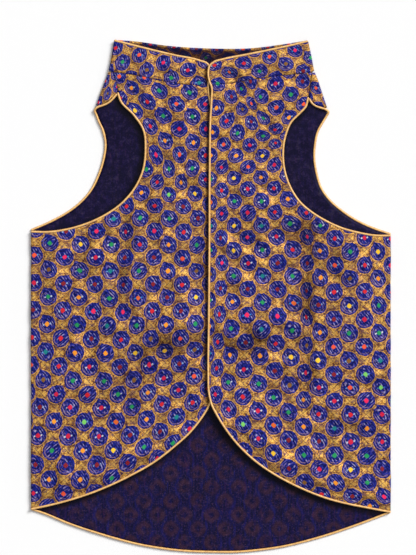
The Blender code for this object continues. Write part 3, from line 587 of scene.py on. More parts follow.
# Sheets: width and length laid flat, what each rests on, and the piping on its edges
SHEETS = {
    "front_left": (256.0, 606.0, ["back_lining_cloth"], ["piping_front_left", "piping_armhole_left_front"]),
    "front_right": (256.0, 610.0, ["back_lining_cloth"],
                    ["piping_front_right", "piping_armhole_right_front"]),
    "back": (506.0, 668.0, [], ["piping_hem_back", "piping_armhole_left_back", "piping_armhole_right_back"]),
    "back_lining": (494.0, 664.0, ["back_cloth"], []),
    "collar": (590.0, 64.0, ["back_cloth"], []),
}

# Studio: the floor, each light's place, width in degrees and strength, the sky and the camera
FLOOR_SIZE = 16.0
FLOOR_DROP = 0.2
FLOOR_ROUGHNESS = 0.9
LIGHTS = (
    ("key", (1.55, 1.45, 1.60), 24.0, 3.1),
    ("top", (0.25, 0.35, 2.30), 70.0, 0.88),
    ("low", (2.20, 1.30, 0.95), 50.0, 0.35),
)
WORLD_STRENGTH = 0.22
CAMERA_LENS = 180.0
CAMERA_SENSOR = 36.0
CAMERA_REACH = 20.0


def dye(red, green, blue):
    """A colour of the cloth, given as a screen shows it, as linear light."""
    return (*[((part / 255 + 0.055) / 1.055) ** 2.4 if part > 10 else part / 255 / 12.92
              for part in (red, green, blue)], 1.0)


DYES = {name: dye(*colour) for name, colour in SCREEN_COLOURS.items()}


def smooth(value):
    """0 below 0 and 1 above 1, with a soft start and end between."""
    value = np.clip(value, 0.0, 1.0)
    return value * value * (3.0 - 2.0 * value)


def passed(curve):
    """How far along a curve each of its points lies."""
    return np.concatenate(([0.0], np.cumsum(np.linalg.norm(np.diff(curve, axis=0), axis=1))))


def units(vectors):
    """Vectors in rows, each made one long."""
    return vectors / np.linalg.norm(vectors, axis=1)[:, None]


def smooth_curve(points, step=CURVE_STEP):
    """Evenly spaced points on a smooth curve through the given ones."""
    points = np.array(points, float)
    knots = passed(points)
    tangents = np.gradient(points, knots, axis=0)
    places = np.linspace(0.0, knots[-1], max(int(knots[-1] / step), 2) + 1)
    k = np.clip(np.searchsorted(knots, places, side="right") - 1, 0, len(points) - 2)
    span = np.diff(knots)[k][:, None]
    t = (places - knots[k])[:, None] / span
    start = (1.0 + 2.0 * t) * (1.0 - t) ** 2 * points[k] + t * (1.0 - t) ** 2 * span * tangents[k]
    end = t * t * (3.0 - 2.0 * t) * points[k + 1] + t * t * (t - 1.0) * span * tangents[k + 1]
    return start + end


def shares(count, start=0.0, end=0.0):
    """Shares of a length, 0 to 1, that crowd towards an end which is given a grade."""
    t = np.linspace(0.0, 1.0, count + 1)
    return t - start * np.sin(math.pi * t) / math.pi * (1.0 - t) + end * np.sin(math.pi * t) / math.pi * t


def at(curve, places):
    """The curve's points at the given shares of its length."""
    along = passed(curve)
    return np.stack([np.interp(places * along[-1], along, values) for values in curve.T], axis=1)


def spaced(curve, count):
    """The curve as count even steps, with both of its ends."""
    return at(curve, shares(count))


def nearest(curve, place):
    """Index of the curve's point nearest to a place."""
    return int(np.argmin(np.linalg.norm(curve - np.array(place, float), axis=1)))


def stretch(curve, start, end):
    """The part of a curve from the place nearest to start to the one nearest to end."""
    first, last = nearest(curve, start), nearest(curve, end)
    return curve[first:last + 1] if first <= last else curve[last:first + 1][::-1]


def ended(curve, start, end):
    """The part of a curve between two places near it, which become its ends."""
    part = stretch(curve, start, end)[2:-2]
    return np.concatenate([[start], part, [end]])


def level_with(curve, place):
    """The curve's point beside a place, at the place's own y."""
    k = nearest(curve, place)
    part = curve[max(k - 3, 0):k + 4]
    part = part[np.argsort(part[:, 1])]
    return np.array([np.interp(place[1], part[:, 1], part[:, 0]), place[1]])


def moved_in(curve, distance, centre):
    """The curve moved sideways by a distance, to the side where centre lies."""
    along = units(np.gradient(curve, axis=0))
    across = np.stack([-along[:, 1], along[:, 0]], axis=1)
    middle = len(curve) // 2
    sign = 1.0 if np.dot(across[middle], np.array(centre) - curve[middle]) > 0.0 else -1.0
    return curve + across * distance * sign


def joined(*curves):
    """Curves end to end, each starting where the one before it ends."""
    parts = [curves[0]]
    for curve in curves[1:]:
        skip = 1 if np.linalg.norm(curve[0] - parts[-1][-1]) < 1e-6 else 0
        parts.append(curve[skip:])
    return np.concatenate(parts)


def line(start, end):
    """A straight run between two places, as a curve."""
    return np.array([start, end], float)


def coons(bottom, top, left, right, across=None, upward=None):
    """A grid whose four edges are the given rows and columns of points."""
    u = np.linspace(0.0, 1.0, len(bottom)) if across is None else across
    v = np.linspace(0.0, 1.0, len(left)) if upward is None else upward
    u, v = u[None, :, None], v[:, None, None]
    sideways = (1.0 - u) * left[:, None, :] + u * right[:, None, :]
    lengthways = (1.0 - v) * bottom[None, :, :] + v * top[None, :, :]
    corners = ((1.0 - u) * (1.0 - v) * bottom[0] + u * (1.0 - v) * bottom[-1]
               + (1.0 - u) * v * top[0] + u * v * top[-1])
    return sideways + lengthways - corners


def beside(curve, x, y):
    """Distance in plan from each place to a curve, and how far along the curve that is."""
    starts, ends = curve[:-1], curve[1:]
    run = ends - starts
    length = np.maximum(np.hypot(run[:, 0], run[:, 1]), 1e-6)
    before = np.concatenate(([0.0], np.cumsum(length)[:-1]))
    dx, dy = x[..., None] - starts[:, 0], y[..., None] - starts[:, 1]
    share = np.clip((dx * run[:, 0] + dy * run[:, 1]) / length ** 2, 0.0, 1.0)
    off = np.hypot(dx - share * run[:, 0], dy - share * run[:, 1])
    k = off.argmin(axis=-1)[..., None]
    along = np.take_along_axis(before + share * length, k, -1)[..., 0]
    return np.take_along_axis(off, k, -1)[..., 0], along


def gathered(curve, x, y, kind):
    """Small gathers of the cloth beside an edge or a seam, and the dip along it."""
    shape = GATHERS[kind]
    off, along = beside(curve, x, y)
    folds = np.sin(along / shape["pitch"] + shape["sway"] * np.sin(along / shape["sway_length"]))
    folds *= 1.0 - shape["swell"] + shape["swell"] * np.sin(along / SWELL_LENGTH)
    folds *= np.exp(-off / PUCKER_REACH) * smooth(off / shape["start"])
    return PUCKER * folds - shape["dip"] * np.exp(-((off / shape["width"]) ** 2))


def waves(seed, lengths, count):
    """Directions, wave lengths and phases of soft ripples."""
    draw = np.random.default_rng(seed)
    angle = draw.uniform(0.0, math.tau, count)
    length = np.exp(draw.uniform(*np.log(lengths), count))
    return angle, length, draw.uniform(0.0, math.tau, count)


def ripples(x, y, seed, lengths=RIPPLE_LENGTHS, count=RIPPLE_WAVES):
    """Soft uneven ripples over a plan, each as high as its length allows."""
    height = np.zeros_like(x)
    for angle, length, phase in zip(*waves(seed, lengths, count)):
        height += length * np.sin((x * math.cos(angle) + y * math.sin(angle)) * math.tau / length + phase)
    return height * RIPPLE_SHARE


class Warp:
    """A smooth map from places on the garment to the brocade's columns and rows."""

    def __init__(self, rows):
        places, values = [], []
        for row, first, rosettes in rows:
            for k, (x, y) in enumerate(rosettes):
                places.append((x - PHOTO_MIDDLE[0], PHOTO_MIDDLE[1] - y))
                values.append((first + k, row))
        self.places, values = np.array(places) * PHOTO_SCALE / WARP_UNIT, np.array(values)
        count = len(values)
        plane = np.column_stack([np.ones(count), self.places])
        system = np.zeros((count + 3, count + 3))
        system[:count, :count] = self.kernel(self.places) + np.eye(count) * WARP_STIFFNESS
        system[:count, count:], system[count:, :count] = plane, plane.T
        self.weights = np.linalg.solve(system, np.vstack([values, np.zeros((3, 2))]))

    def kernel(self, places):
        """How strongly each rosette pulls on each place."""
        square = ((places[:, None] - self.places[None]) ** 2).sum(axis=-1)
        return square * np.log(square + 1e-12) * 0.5

    def __call__(self, plan):
        """Columns and rows of the brocade at places of a grid."""
        places = plan.reshape(-1, 2) / WARP_UNIT
        plane = np.column_stack([np.ones(len(places)), places])
        return (self.kernel(places) @ self.weights[:-3] + plane @ self.weights[-3:]).reshape(plan.shape)


WARPS = {name: Warp(rows) for name, rows in ROSETTES.items()}


class Side:
    """One half of the garment: its edges, and the height of its top layer."""

    def __init__(self, name, edges, seed):
        self.name = name
        self.sign = -1.0 if name == "left" else 1.0
        self.edges = edges
        self.seed = seed
        self.places = MEETING_PLACES[name]
        self.middle = (self.sign * FRONT_MIDDLE_X, 0.0)
        self.seam_shift = np.array([self.sign * GAP / 2, 0.0])
        self.lap_level = LEFT_LAP_LEVEL if name == "left" else RIGHT_LAP_LEVEL
        self.opening = smooth_curve(edges["collar_top"] + edges["centre"] + edges["hem"])
        self.armhole = smooth_curve(edges["armhole_front"])
        self.armhole_back = smooth_curve((edges["tip"],) + edges["armhole_back"])
        self.cap = smooth_curve(edges["cap"])
        self.shoulder_fold = smooth_curve(edges["shoulder_fold"])
        self.collar_fold = line(*edges["collar_fold"])
        self.shoulder_seam = line(*edges["shoulder_seam"])
        self.neck_seam = smooth_curve(edges["neck_seam"])
        fold_x = self.sign * HALF_WIDTH
        side_fold = line((fold_x, self.opening[-1][1]), (fold_x, self.armhole[0][1]))
        self.coarse_neck_seam = self.neck_seam[::COARSE_STEP]
        outer_fold = joined(self.shoulder_fold[::COARSE_STEP], self.collar_fold)
        self.outer_folds = [side_fold, outer_fold]
        self.open_edges = [self.opening[::COARSE_STEP], self.armhole[::COARSE_STEP]]

    def frame_height(self, x, y):
        """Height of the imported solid's top layer, without its folds, and how free the cloth is to fold."""
        to_fold = np.minimum(*[beside(fold, x, y)[0] for fold in self.outer_folds])
        to_edge = np.minimum(*[beside(edge, x, y)[0] for edge in self.open_edges])
        height = EDGE_LEVEL + CROWN * smooth(np.minimum(to_fold, to_edge) / CROWN_REACH)
        lap = 1.0 - smooth((x * self.sign - LAP_HALF_WIDTH) / LAP_REACH)
        free = smooth(to_fold / FOLD_FADE) * smooth(to_edge / FOLD_FADE)
        height += (self.lap_level - height) * lap
        for lift_x, lift_y, reach, rise in LIFTS[self.name]:
            height += rise * np.exp(-((x - lift_x) ** 2 + (y - lift_y) ** 2) / reach ** 2)
        return height, free

    def creased(self, plan):
        """Relief of the creases over a plan, the plan as it lay before them, and the shade painted in their
        hollows.
        """
        x, y = plan[..., 0], plan[..., 1]
        long, short, other = WANDER_LENGTHS
        wx = x + CREASE_WANDER * (np.sin(y / long + self.seed) + np.sin(y / short + 2.0 * self.seed) / 2)
        wy = y + CREASE_WANDER * np.sin(x / other + 3.0 * self.seed)
        relief, painted_shade, before = np.zeros_like(x), np.zeros_like(x), plan.copy()
        for k, row in enumerate(CREASES[self.name]):
            crease = dict(zip(CREASE_COLUMNS, row))
            start, end = np.array([crease["x1"], crease["y1"]]), np.array([crease["x2"], crease["y2"]])
            length = np.linalg.norm(end - start)
            run = (end - start) / length
            along = (wx - start[0]) * run[0] + (wy - start[1]) * run[1]
            across = (wy - start[1]) * run[0] - (wx - start[0]) * run[1]
            beyond = np.maximum(np.maximum(-along, along - length), 0.0)
            width = crease["width"] * (1.0 + WIDTH_SWING * np.sin(along / WIDTH_LENGTH + k))
            strength = CREASE_STRENGTH + STRENGTH_SWING * np.sin(along / STRENGTH_LENGTH + 2.0 * k)
            fade = np.exp(-((beyond / (END_FADE * crease["width"])) ** 2)) * strength
            bump = np.exp(-((across / width) ** 2)) * fade
            step = np.tanh(across / width) * np.exp(-np.abs(across) / STEP_REACH) * fade
            relief += crease["height"] * bump + crease["step"] / 2.0 * step
            # Painted shade along a trough, darker the deeper and more pinched it is
            if crease["height"] < 0.0:
                shade = np.exp(-((across / (width * HOLLOW_SPREAD)) ** 2)) * fade
                painted_shade += shade * -crease["height"] * (CREASE_SHADE[0] + CREASE_SHADE[1] * crease["pinch"])
            slide = crease["pinch"] * (across / width) * bump
            before[..., 0] += slide * -run[1]
            before[..., 1] += slide * run[0]
        trough = DEEPEST * np.tanh(np.minimum(relief, 0.0) / DEEPEST)
        return np.maximum(relief, 0.0) + trough, before, MOST_HOLLOW * np.tanh(painted_shade / MOST_HOLLOW)

    def on_top(self, plan, seams=()):
        """A plan grid raised to the top layer, with creases, ripples, dips at its seams and piping, and
        painted shade.
        """
        x, y = plan[..., 0], plan[..., 1]
        height, free = self.frame_height(x, y)
        relief, before, painted_shade = self.creased(plan)
        rippling = RIPPLE_AT_EDGES + (1.0 - RIPPLE_AT_EDGES) * free
        height += relief * free + ripples(x, y, self.seed) * rippling
        height = LEAST_LEVEL + LEAST_SOFTNESS * np.log1p(np.exp((height - LEAST_LEVEL) / LEAST_SOFTNESS))
        for edge in self.open_edges:
            height += gathered(edge, x, y, "edge")
        for seam in seams:
            height += gathered(seam, x, y, "seam")
        painted_shade *= free
        # Painted shade on the left front beside the right front's edge, which lies over it
        if self.name == "left":
            painted_shade += shade_under([SIDES["right"].opening[::COARSE_STEP]], plan, LAP_SHADE)
        return np.dstack([plan, height]), before, painted_shade

    def side_rows(self, low, high, places):
        """Points up the side fold's inner line between two heights on the garment."""
        x = self.sign * SIDE_LINE
        return at(line((x, low), (x, high)), places)


def shade_under(edges, plan, shade):
    """How much shade is painted on a layer close to edges that lie over it, on the side away from the window.
    """
    drift, reach, depth = shade
    off = np.min([beside(edge, plan[..., 0] + drift, plan[..., 1] + drift)[0] for edge in edges], axis=0)
    return depth * np.exp(-((off / reach) ** 2))


SIDES = {"left": Side("left", LEFT_EDGES, 1), "right": Side("right", RIGHT_EDGES, 2)}


class Patch:
    """A grid of points of the cloth's middle surface, with each one's place in the repeat and its painted
    shade.
    """

    def __init__(self, points, pattern, painted_shade=None):
        self.points, self.pattern = points, pattern
        self.painted_shade = np.zeros(points.shape[:2]) if painted_shade is None else painted_shade


def at_level(plan, level):
    """A plan grid at one height."""
    return np.dstack([plan, np.full(plan.shape[:2], level)])


def round_fold(upper, lower, outward, start, end, steps):
    """Columns that carry a column of points round a fold to another, and how far round each has come."""
    half, middle = (upper - lower) / 2.0, (upper + lower) / 2.0
    radius = half[:, 2:3]
    outward = np.append(np.array(outward, float) / np.linalg.norm(outward), 0.0)
    angles = np.linspace(start, end, steps + 1)
    points = np.stack([middle + half * math.cos(a) + outward * radius * math.sin(a) for a in angles], axis=1)
    return points, radius * angles[None, :]


def spread(column, way):
    """The plan of a column of points that is laid out flat sideways, as far as way says."""
    return np.dstack([column[:, :1] + way, column[:, 1:2] + np.zeros_like(way)])


def from_side(side, curve, end):
    """A curve that starts at the garment's side, cut at the side fold's inner line, as far as end."""
    part = stretch(curve, (side.sign * SIDE_LINE, curve[0][1]), end)
    part[0] = (side.sign * SIDE_LINE, min(part[0][1], curve[0][1]) if part[0][1] > 0.0 else part[0][1])
    return part


def front_panel(side):
    """One front: a patch up to the armhole, a patch beside it, and the half of the side fold it covers."""
    opening = moved_in(side.opening, EDGE_TUCK, side.middle)
    armhole = moved_in(side.armhole, EDGE_TUCK, side.middle)
    neck = side.neck_seam - NECK_SHIFT
    seam = side.shoulder_seam - side.seam_shift
    neck_start = neck[nearest(neck, seam[-1])]
    neck_end = level_with(opening, neck[-1])
    hem = from_side(side, opening[::-1], side.places["hem"])
    under = from_side(side, armhole, side.places["armhole"])
    cross = line(under[-1], opening[nearest(opening, side.places["centre"])])
    low, high = shares(COLUMNS_UNDER_ARMHOLE), shares(COLUMNS_UNDER_NECK, EDGE_GRADE / 2, EDGE_GRADE)
    split = COLUMNS_UNDER_ARMHOLE / (COLUMNS_UNDER_ARMHOLE + COLUMNS_UNDER_NECK)
    columns = np.concatenate([low * split, split + (1.0 - split) * high[1:]])
    rows = shares(ROWS_TO_ARMHOLE, EDGE_GRADE, EDGE_GRADE)
    body = coons(at(hem, columns), joined(at(under, low), at(cross, high)),
                 side.side_rows(hem[0][1], under[0][1], rows), at(stretch(opening, hem[-1], cross[-1]), rows),
                 columns, rows)
    arm = stretch(armhole, under[-1], armhole[-1])
    neck_edge = ended(neck, neck_start, neck_end)
    centre = joined(stretch(opening, cross[-1], neck_end)[:-2], neck_end[None])
    chest_rows = shares(ROWS_BY_ARMHOLE + ROWS_BY_SHOULDER, end=EDGE_GRADE)
    top_start = chest_rows[ROWS_BY_ARMHOLE]
    shoulder_rows = (chest_rows[ROWS_BY_ARMHOLE:] - top_start) / (1.0 - top_start)
    chest = coons(at(cross, high), at(neck_edge, high),
                  joined(spaced(arm, ROWS_BY_ARMHOLE - 1), line(arm[-1], seam[0]),
                         at(line(seam[0], neck_start), shoulder_rows)),
                  at(centre, chest_rows), high, chest_rows)
    seams = [side.shoulder_seam, side.coarse_neck_seam]
    warp, patches = WARPS[side.name], []
    for plan in (body, chest):
        points, before, painted_shade = side.on_top(plan, seams)
        patches.append(Patch(points, warp(before), painted_shade))
    upper = patches[0].points[:, 0]
    lower = upper * (1.0, 1.0, 0.0) + (0.0, 0.0, BACK_LEVEL)
    points, way = round_fold(upper, lower, (side.sign, 0.0), 0.0, math.pi / 2 - SIDE_SEAM_ANGLE, SEAM_STEPS)
    patches.append(Patch(points, warp(spread(upper, side.sign * way))))
    return patches


def flat_pattern(plan, column=ROSETTE_COLUMN, row=ROSETTE_ROW):
    """Columns and rows of a repeat on a flat stretch of cloth."""
    return np.dstack([plan[..., 0] / column, -plan[..., 1] / row])


def back_outline(side, inset):
    """The back's lower armhole, upper armhole and shoulder on one side, moved in from the piping."""
    armhole = moved_in(side.armhole_back, inset, side.middle)
    meeting = armhole[nearest(armhole, side.places["back"])]
    under = from_side(side, armhole[::-1], meeting)
    fold_inset = BACK_WALL / 2 + (EDGE_LEVEL - BACK_LEVEL) / 2 + inset - EDGE_TUCK
    shoulder = moved_in(side.shoulder_fold, fold_inset, NECK_MIDDLE)
    tip = armhole[BACK_TIP_CORNER]
    upper = joined(spaced(stretch(armhole, meeting, tip), ROWS_BY_ARMHOLE - 1), line(tip, shoulder[0]))
    return under, upper, shoulder


def back_patches(inset, neck_drop):
    """The back's two plan patches: hem to armholes, and from there to the neck seam."""
    hem = moved_in(smooth_curve(BACK_HEM), inset, NECK_MIDDLE)
    hem[0], hem[-1] = (-SIDE_LINE, hem[0][1]), (SIDE_LINE, hem[-1][1])
    neck = smooth_curve(BACK_NECK_SEAM) - np.array([0.0, neck_drop])
    (under_l, beside_l, shoulder_l), (under_r, beside_r, shoulder_r) = [
        back_outline(side, inset) for side in SIDES.values()]
    between = spaced(line(under_l[-1], under_r[-1]), BACK_COLUMNS_BETWEEN)
    rows = shares(BACK_ROWS_TO_ARMHOLE, EDGE_GRADE, 0.0)
    body = coons(
        spaced(hem, 2 * BACK_COLUMNS_UNDER_ARMHOLE + BACK_COLUMNS_BETWEEN),
        joined(spaced(under_l, BACK_COLUMNS_UNDER_ARMHOLE), between,
               spaced(under_r[::-1], BACK_COLUMNS_UNDER_ARMHOLE)),
        SIDES["left"].side_rows(hem[0][1], under_l[0][1], rows),
        SIDES["right"].side_rows(hem[-1][1], under_r[0][1], rows),
        upward=rows,
    )
    neck_line = spaced(ended(neck, shoulder_l[-1], shoulder_r[-1]), BACK_COLUMNS_BETWEEN)
    chest = coons(between, neck_line, joined(beside_l, spaced(shoulder_l, ROWS_BY_SHOULDER)),
                  joined(beside_r, spaced(shoulder_r, ROWS_BY_SHOULDER)))
    return body, chest


def shoulder_wrap(side, lower):
    """The back's cloth round one shoulder fold and forward to the shoulder seam."""
    cap = moved_in(side.cap, EDGE_TUCK, (side.sign * SHOULDER_MIDDLE[0], SHOULDER_MIDDLE[1]))
    seam = side.shoulder_seam + side.seam_shift
    neck = side.neck_seam - NECK_SHIFT
    seam_top = neck[nearest(neck, seam[-1])] + side.seam_shift
    fold_line = lower[:, :2]
    cap_edge = joined(stretch(cap, cap[0], fold_line[0])[:-TIP_CORNER], fold_line[:1])
    plan = coons(
        joined(line(seam[0], cap[0]), spaced(cap_edge, WRAP_COLUMNS - 1)),
        spaced(line(seam_top, fold_line[-1]), WRAP_COLUMNS),
        spaced(line(seam[0], seam_top), ROWS_BY_SHOULDER),
        fold_line,
    )
    warp = WARPS[f"wrap_{side.name}"]
    seams = [side.shoulder_seam, side.coarse_neck_seam, side.cap[::COARSE_STEP]]
    points, before, painted_shade = side.on_top(plan, seams)
    outward = fold_line[1] - moved_in(fold_line, 1.0, NECK_MIDDLE)[1]
    fold, way = round_fold(points[:, -1], lower, outward, 0.0, math.pi, FOLD_STEPS)
    outward = outward / np.linalg.norm(outward)
    around = points[:, -1:, :2] + outward * way[..., None]
    return [Patch(points, warp(before), painted_shade), Patch(fold, warp(around))]


def back_panel():
    """The back: flat on the surface, turned up round the side folds and forward over the shoulders."""
    plans = back_patches(EDGE_TUCK, NECK_GAP / 2)
    patches = [Patch(at_level(plan, BACK_LEVEL), flat_pattern(plan)) for plan in plans]
    for side, column in zip(SIDES.values(), (0, -1)):
        lower = patches[0].points[:, column]
        upper = lower * (1.0, 1.0, 0.0) + (0.0, 0.0, EDGE_LEVEL)
        turn = math.pi / 2 + SIDE_SEAM_ANGLE
        points, way = round_fold(upper, lower, (side.sign, 0.0), turn, math.pi, SEAM_STEPS)
        patches.append(Patch(points, flat_pattern(spread(lower, side.sign * (way[:, -1:] - way)))))
        patches += shoulder_wrap(side, patches[1].points[-ROWS_BY_SHOULDER - 1:, column])
    return patches


def collar_band():
    """The collar: a flattened band, open at the centre front and folded at both ends of its back."""
    back_top = smooth_curve(BACK_COLLAR_TOP)
    back_seam = smooth_curve(BACK_NECK_SEAM) + NECK_SHIFT
    fold_inset = COLLAR_WALL / 2 + (EDGE_LEVEL - LOWER_COLLAR_LEVEL) / 2
    patches, fold_lines = [], []
    for side in SIDES.values():
        opening = moved_in(side.opening, EDGE_TUCK, side.middle)
        seam = side.neck_seam + NECK_SHIFT
        fold = moved_in(side.collar_fold, fold_inset, NECK_MIDDLE)
        front_corner, back_corner = fold[1] + COLLAR_FRONT_CORNER, fold[1] + COLLAR_BACK_CORNER
        seam = ended(seam, seam[nearest(seam, fold[0])], level_with(opening, seam[-1]))
        top = stretch(opening, fold[1], side.edges["centre"][1])
        centre = joined(stretch(opening, side.edges["centre"][1], seam[-1])[:-2], seam[-1][None])
        plan = coons(
            spaced(joined(line(fold[0], seam[0]), seam), COLLAR_COLUMNS),
            spaced(joined(line(front_corner, top[0]), top), COLLAR_COLUMNS),
            spaced(line(fold[0], front_corner), COLLAR_ROWS),
            spaced(centre[::-1], COLLAR_ROWS),
        )
        points, before, painted_shade = side.on_top(plan, [side.coarse_neck_seam])
        warp = WARPS[f"collar_{side.name}"]
        patches.append(Patch(points, warp(before), painted_shade))
        lower = at_level(spaced(line(fold[0], back_corner), COLLAR_ROWS)[:, None], LOWER_COLLAR_LEVEL)[:, 0]
        points, way = round_fold(points[:, 0], lower, (side.sign, 0.0), 0.0, math.pi, FOLD_STEPS)
        patches.append(Patch(points, warp(spread(plan[:, 0], side.sign * way))))
        fold_lines.append(lower)
    left, right = [fold[:, :2] for fold in fold_lines]
    bottom = spaced(ended(back_seam, left[0], right[0]), BACK_COLLAR_COLUMNS)
    top = spaced(ended(back_top, left[-1], right[-1]), BACK_COLLAR_COLUMNS)
    plan = coons(bottom, top, left, right)
    points = at_level(plan, LOWER_COLLAR_LEVEL)
    # The inside of the back collar, with painted shade
    patches.append(Patch(points, WARPS["collar_back"](plan), collar_shade(plan)))
    return patches


def collar_shade(plan):
    """How much shade is painted on the inside of the back collar: more of it further below its top fold."""
    off = beside(smooth_curve(BACK_COLLAR_TOP)[::COARSE_STEP], plan[..., 0], plan[..., 1])[0]
    x_length, y_length, swell_length = COLLAR_UNEVEN_LENGTHS
    uneven = np.sin(plan[..., 0] / x_length + 2.0 * np.sin(plan[..., 1] / y_length))
    uneven *= np.sin(plan[..., 0] / swell_length + 1.0)
    lit, dark = COLLAR_SHADE
    shade = lit + (dark - lit) * smooth((off - COLLAR_SHADE_START) / COLLAR_SHADE_REACH)
    return shade + COLLAR_UNEVEN * uneven


def back_lining():
    """The lining inside the back, a little uneven, in its two patches, with painted shade by the fronts'
    edges.
    """
    patches = []
    for plan in back_patches(LINING_TUCK, LINING_NECK_DROP):
        relief = ripples(plan[..., 0], plan[..., 1], LINING_SEED, LINING_RIPPLE_LENGTHS) * LINING_RIPPLE
        points = np.dstack([plan, LINING_LEVEL + np.clip(relief, -LINING_SWING, LINING_SWING)])
        edges = [edge for side in SIDES.values() for edge in side.open_edges]
        pattern = flat_pattern(plan + LINING_OFFSET, LINING_COLUMN, LINING_ROW)
        # Painted shade where the fronts' edges lie over the lining
        patches.append(Patch(points, pattern, shade_under(edges, plan, LINING_SHADE)))
    return patches


def cut_area(patches):
    """Flat area of cut cloth in square metres, summed over its patches."""
    total = 0.0
    for patch in patches:
        p = patch.points
        diagonals = np.cross(p[1:, 1:] - p[:-1, :-1], p[1:, :-1] - p[:-1, 1:])
        total += np.linalg.norm(diagonals, axis=-1).sum() / 2
    return total * MM * MM


def placed(name, data):
    """A new object of the scene, at its origin."""
    thing = bpy.data.objects.new(name, data)
    bpy.context.collection.objects.link(thing)
    return thing


def piece_of(name, surface, finishes):
    """A smooth piece with its own mesh and materials, made of a surface."""
    mesh = bpy.data.meshes.new(name)
    surface.to_mesh(mesh)
    surface.free()
    mesh.shade_smooth()
    for finish in finishes:
        mesh.materials.append(finish)
    return placed(name, mesh)


def cloth(name, patches, wall, middle, outer, inner):
    """A closed wall of cloth round the patches' middle surface, with its outer face away from middle."""
    surface = bmesh.new()
    grain = surface.loops.layers.uv.new("grain")
    # Each point's painted shade, kept on the mesh for the materials to darken the cloth by
    painted_shade = surface.verts.layers.float.new("painted_shade")
    for patch in patches:
        rows = []
        for points, depths in zip(patch.points, patch.painted_shade):
            row = [surface.verts.new(point * MM) for point in points]
            for vertex, depth in zip(row, depths):
                vertex[painted_shade] = depth
            rows.append(row)
        for j in range(len(rows) - 1):
            for k in range(len(rows[j]) - 1):
                corners = ((j, k), (j, k + 1), (j + 1, k + 1), (j + 1, k))
                face = surface.faces.new([rows[row][column] for row, column in corners])
                for loop, corner in zip(face.loops, corners):
                    loop[grain].uv = patch.pattern[corner]
    bmesh.ops.remove_doubles(surface, verts=surface.verts, dist=WELD * MM)
    bmesh.ops.recalc_face_normals(surface, faces=surface.faces)
    outside = sum(f.normal.z * f.calc_area() * (f.calc_center_median().z - middle * MM)
                  for f in surface.faces)
    if outside < 0.0:
        bmesh.ops.reverse_faces(surface, faces=surface.faces)
    piece = piece_of(name, surface, (outer, inner))
    thickness = piece.modifiers.new("wall", "SOLIDIFY")
    thickness.thickness = wall * MM
    thickness.offset = 0.0
    thickness.material_offset = 1
    bpy.context.view_layer.objects.active = piece
    bpy.ops.object.modifier_apply(modifier=thickness.name)
    return piece


def piping(name, route, finish, seed):
    """A round strip of satin over a cord, with small slanting wrinkles, along a route."""
    route = at(route, shares(max(int(passed(route)[-1] / PIPING_STEP), 4)))
    along = units(np.gradient(route, axis=0))
    across = units(np.cross(along, (0.0, 0.0, 1.0)))
    up = np.cross(across, along)
    far = passed(route)[:, None]
    angles = np.arange(PIPING_SIDES) * math.tau / PIPING_SIDES
    wrinkle = np.sin(far / WRINKLE_PITCH + WRINKLE_SWAY * np.sin(far / WRINKLE_SWAY_LENGTH + seed) + angles)
    swell = (np.sin(far / SWELL_LENGTHS[0] + seed) + np.sin(far / SWELL_LENGTHS[1] + 2.0 * seed)) / 2
    radius = PIPING_WIDTH / 2 * (1.0 + WRINKLE_DEPTH * wrinkle + SWELL_DEPTH * swell)
    to_end = np.minimum(far, far[-1] - far)
    radius *= np.sqrt(np.clip((to_end + END_START) / END_LENGTH, 0.0, 1.0))
    outward = np.cos(angles)[:, None] * across[:, None] + np.sin(angles)[:, None] * up[:, None]
    rings = route[:, None] + radius[..., None] * outward
    tube = bmesh.new()
    strip = tube.loops.layers.uv.new("grain")
    verts = [[tube.verts.new(point * MM) for point in ring] for ring in rings]
    around = PIPING_WIDTH * math.pi / PIPING_SIDES
    for j in range(len(verts) - 1):
        for k in range(PIPING_SIDES):
            corners = ((j, k), (j, k + 1), (j + 1, k + 1), (j + 1, k))
            face = tube.faces.new([verts[row][side % PIPING_SIDES] for row, side in corners])
            for loop, (row, side) in zip(face.loops, corners):
                loop[strip].uv = (far[row, 0], side * around)
    tube.faces.new(verts[0])
    tube.faces.new(verts[-1])
    bmesh.ops.recalc_face_normals(tube, faces=tube.faces)
    return piece_of(name, tube, (finish,))


def armhole_back_route(side):
    """The piping of one shoulder cap, round its tip to the layer below, and down the back's armhole."""
    meeting = np.array(side.edges["armhole_front"][-1])
    first = np.array(side.edges["cap"][0]) - meeting
    start = meeting + first / np.linalg.norm(first) * CAP_START_GAP
    cap = [(x, y, EDGE_LEVEL) for x, y in (start, *side.edges["cap"][1:])]
    tip = (*side.edges["tip"], (EDGE_LEVEL + LOWER_PIPING_LEVEL) / 2)
    below = [(x, y, LOWER_PIPING_LEVEL) for x, y in side.edges["armhole_back"]]
    route = smooth_curve([*cap, tip, *below])
    route[:, 2] = np.maximum(route[:, 2], LOWER_PIPING_LEVEL)
    return route


def top_route(side, curve):
    """A piping's route on the top layer."""
    height, _ = side.frame_height(curve[:, 0], curve[:, 1])
    return np.column_stack([curve, height + ripples(curve[:, 0], curve[:, 1], side.seed) * RIPPLE_AT_EDGES])


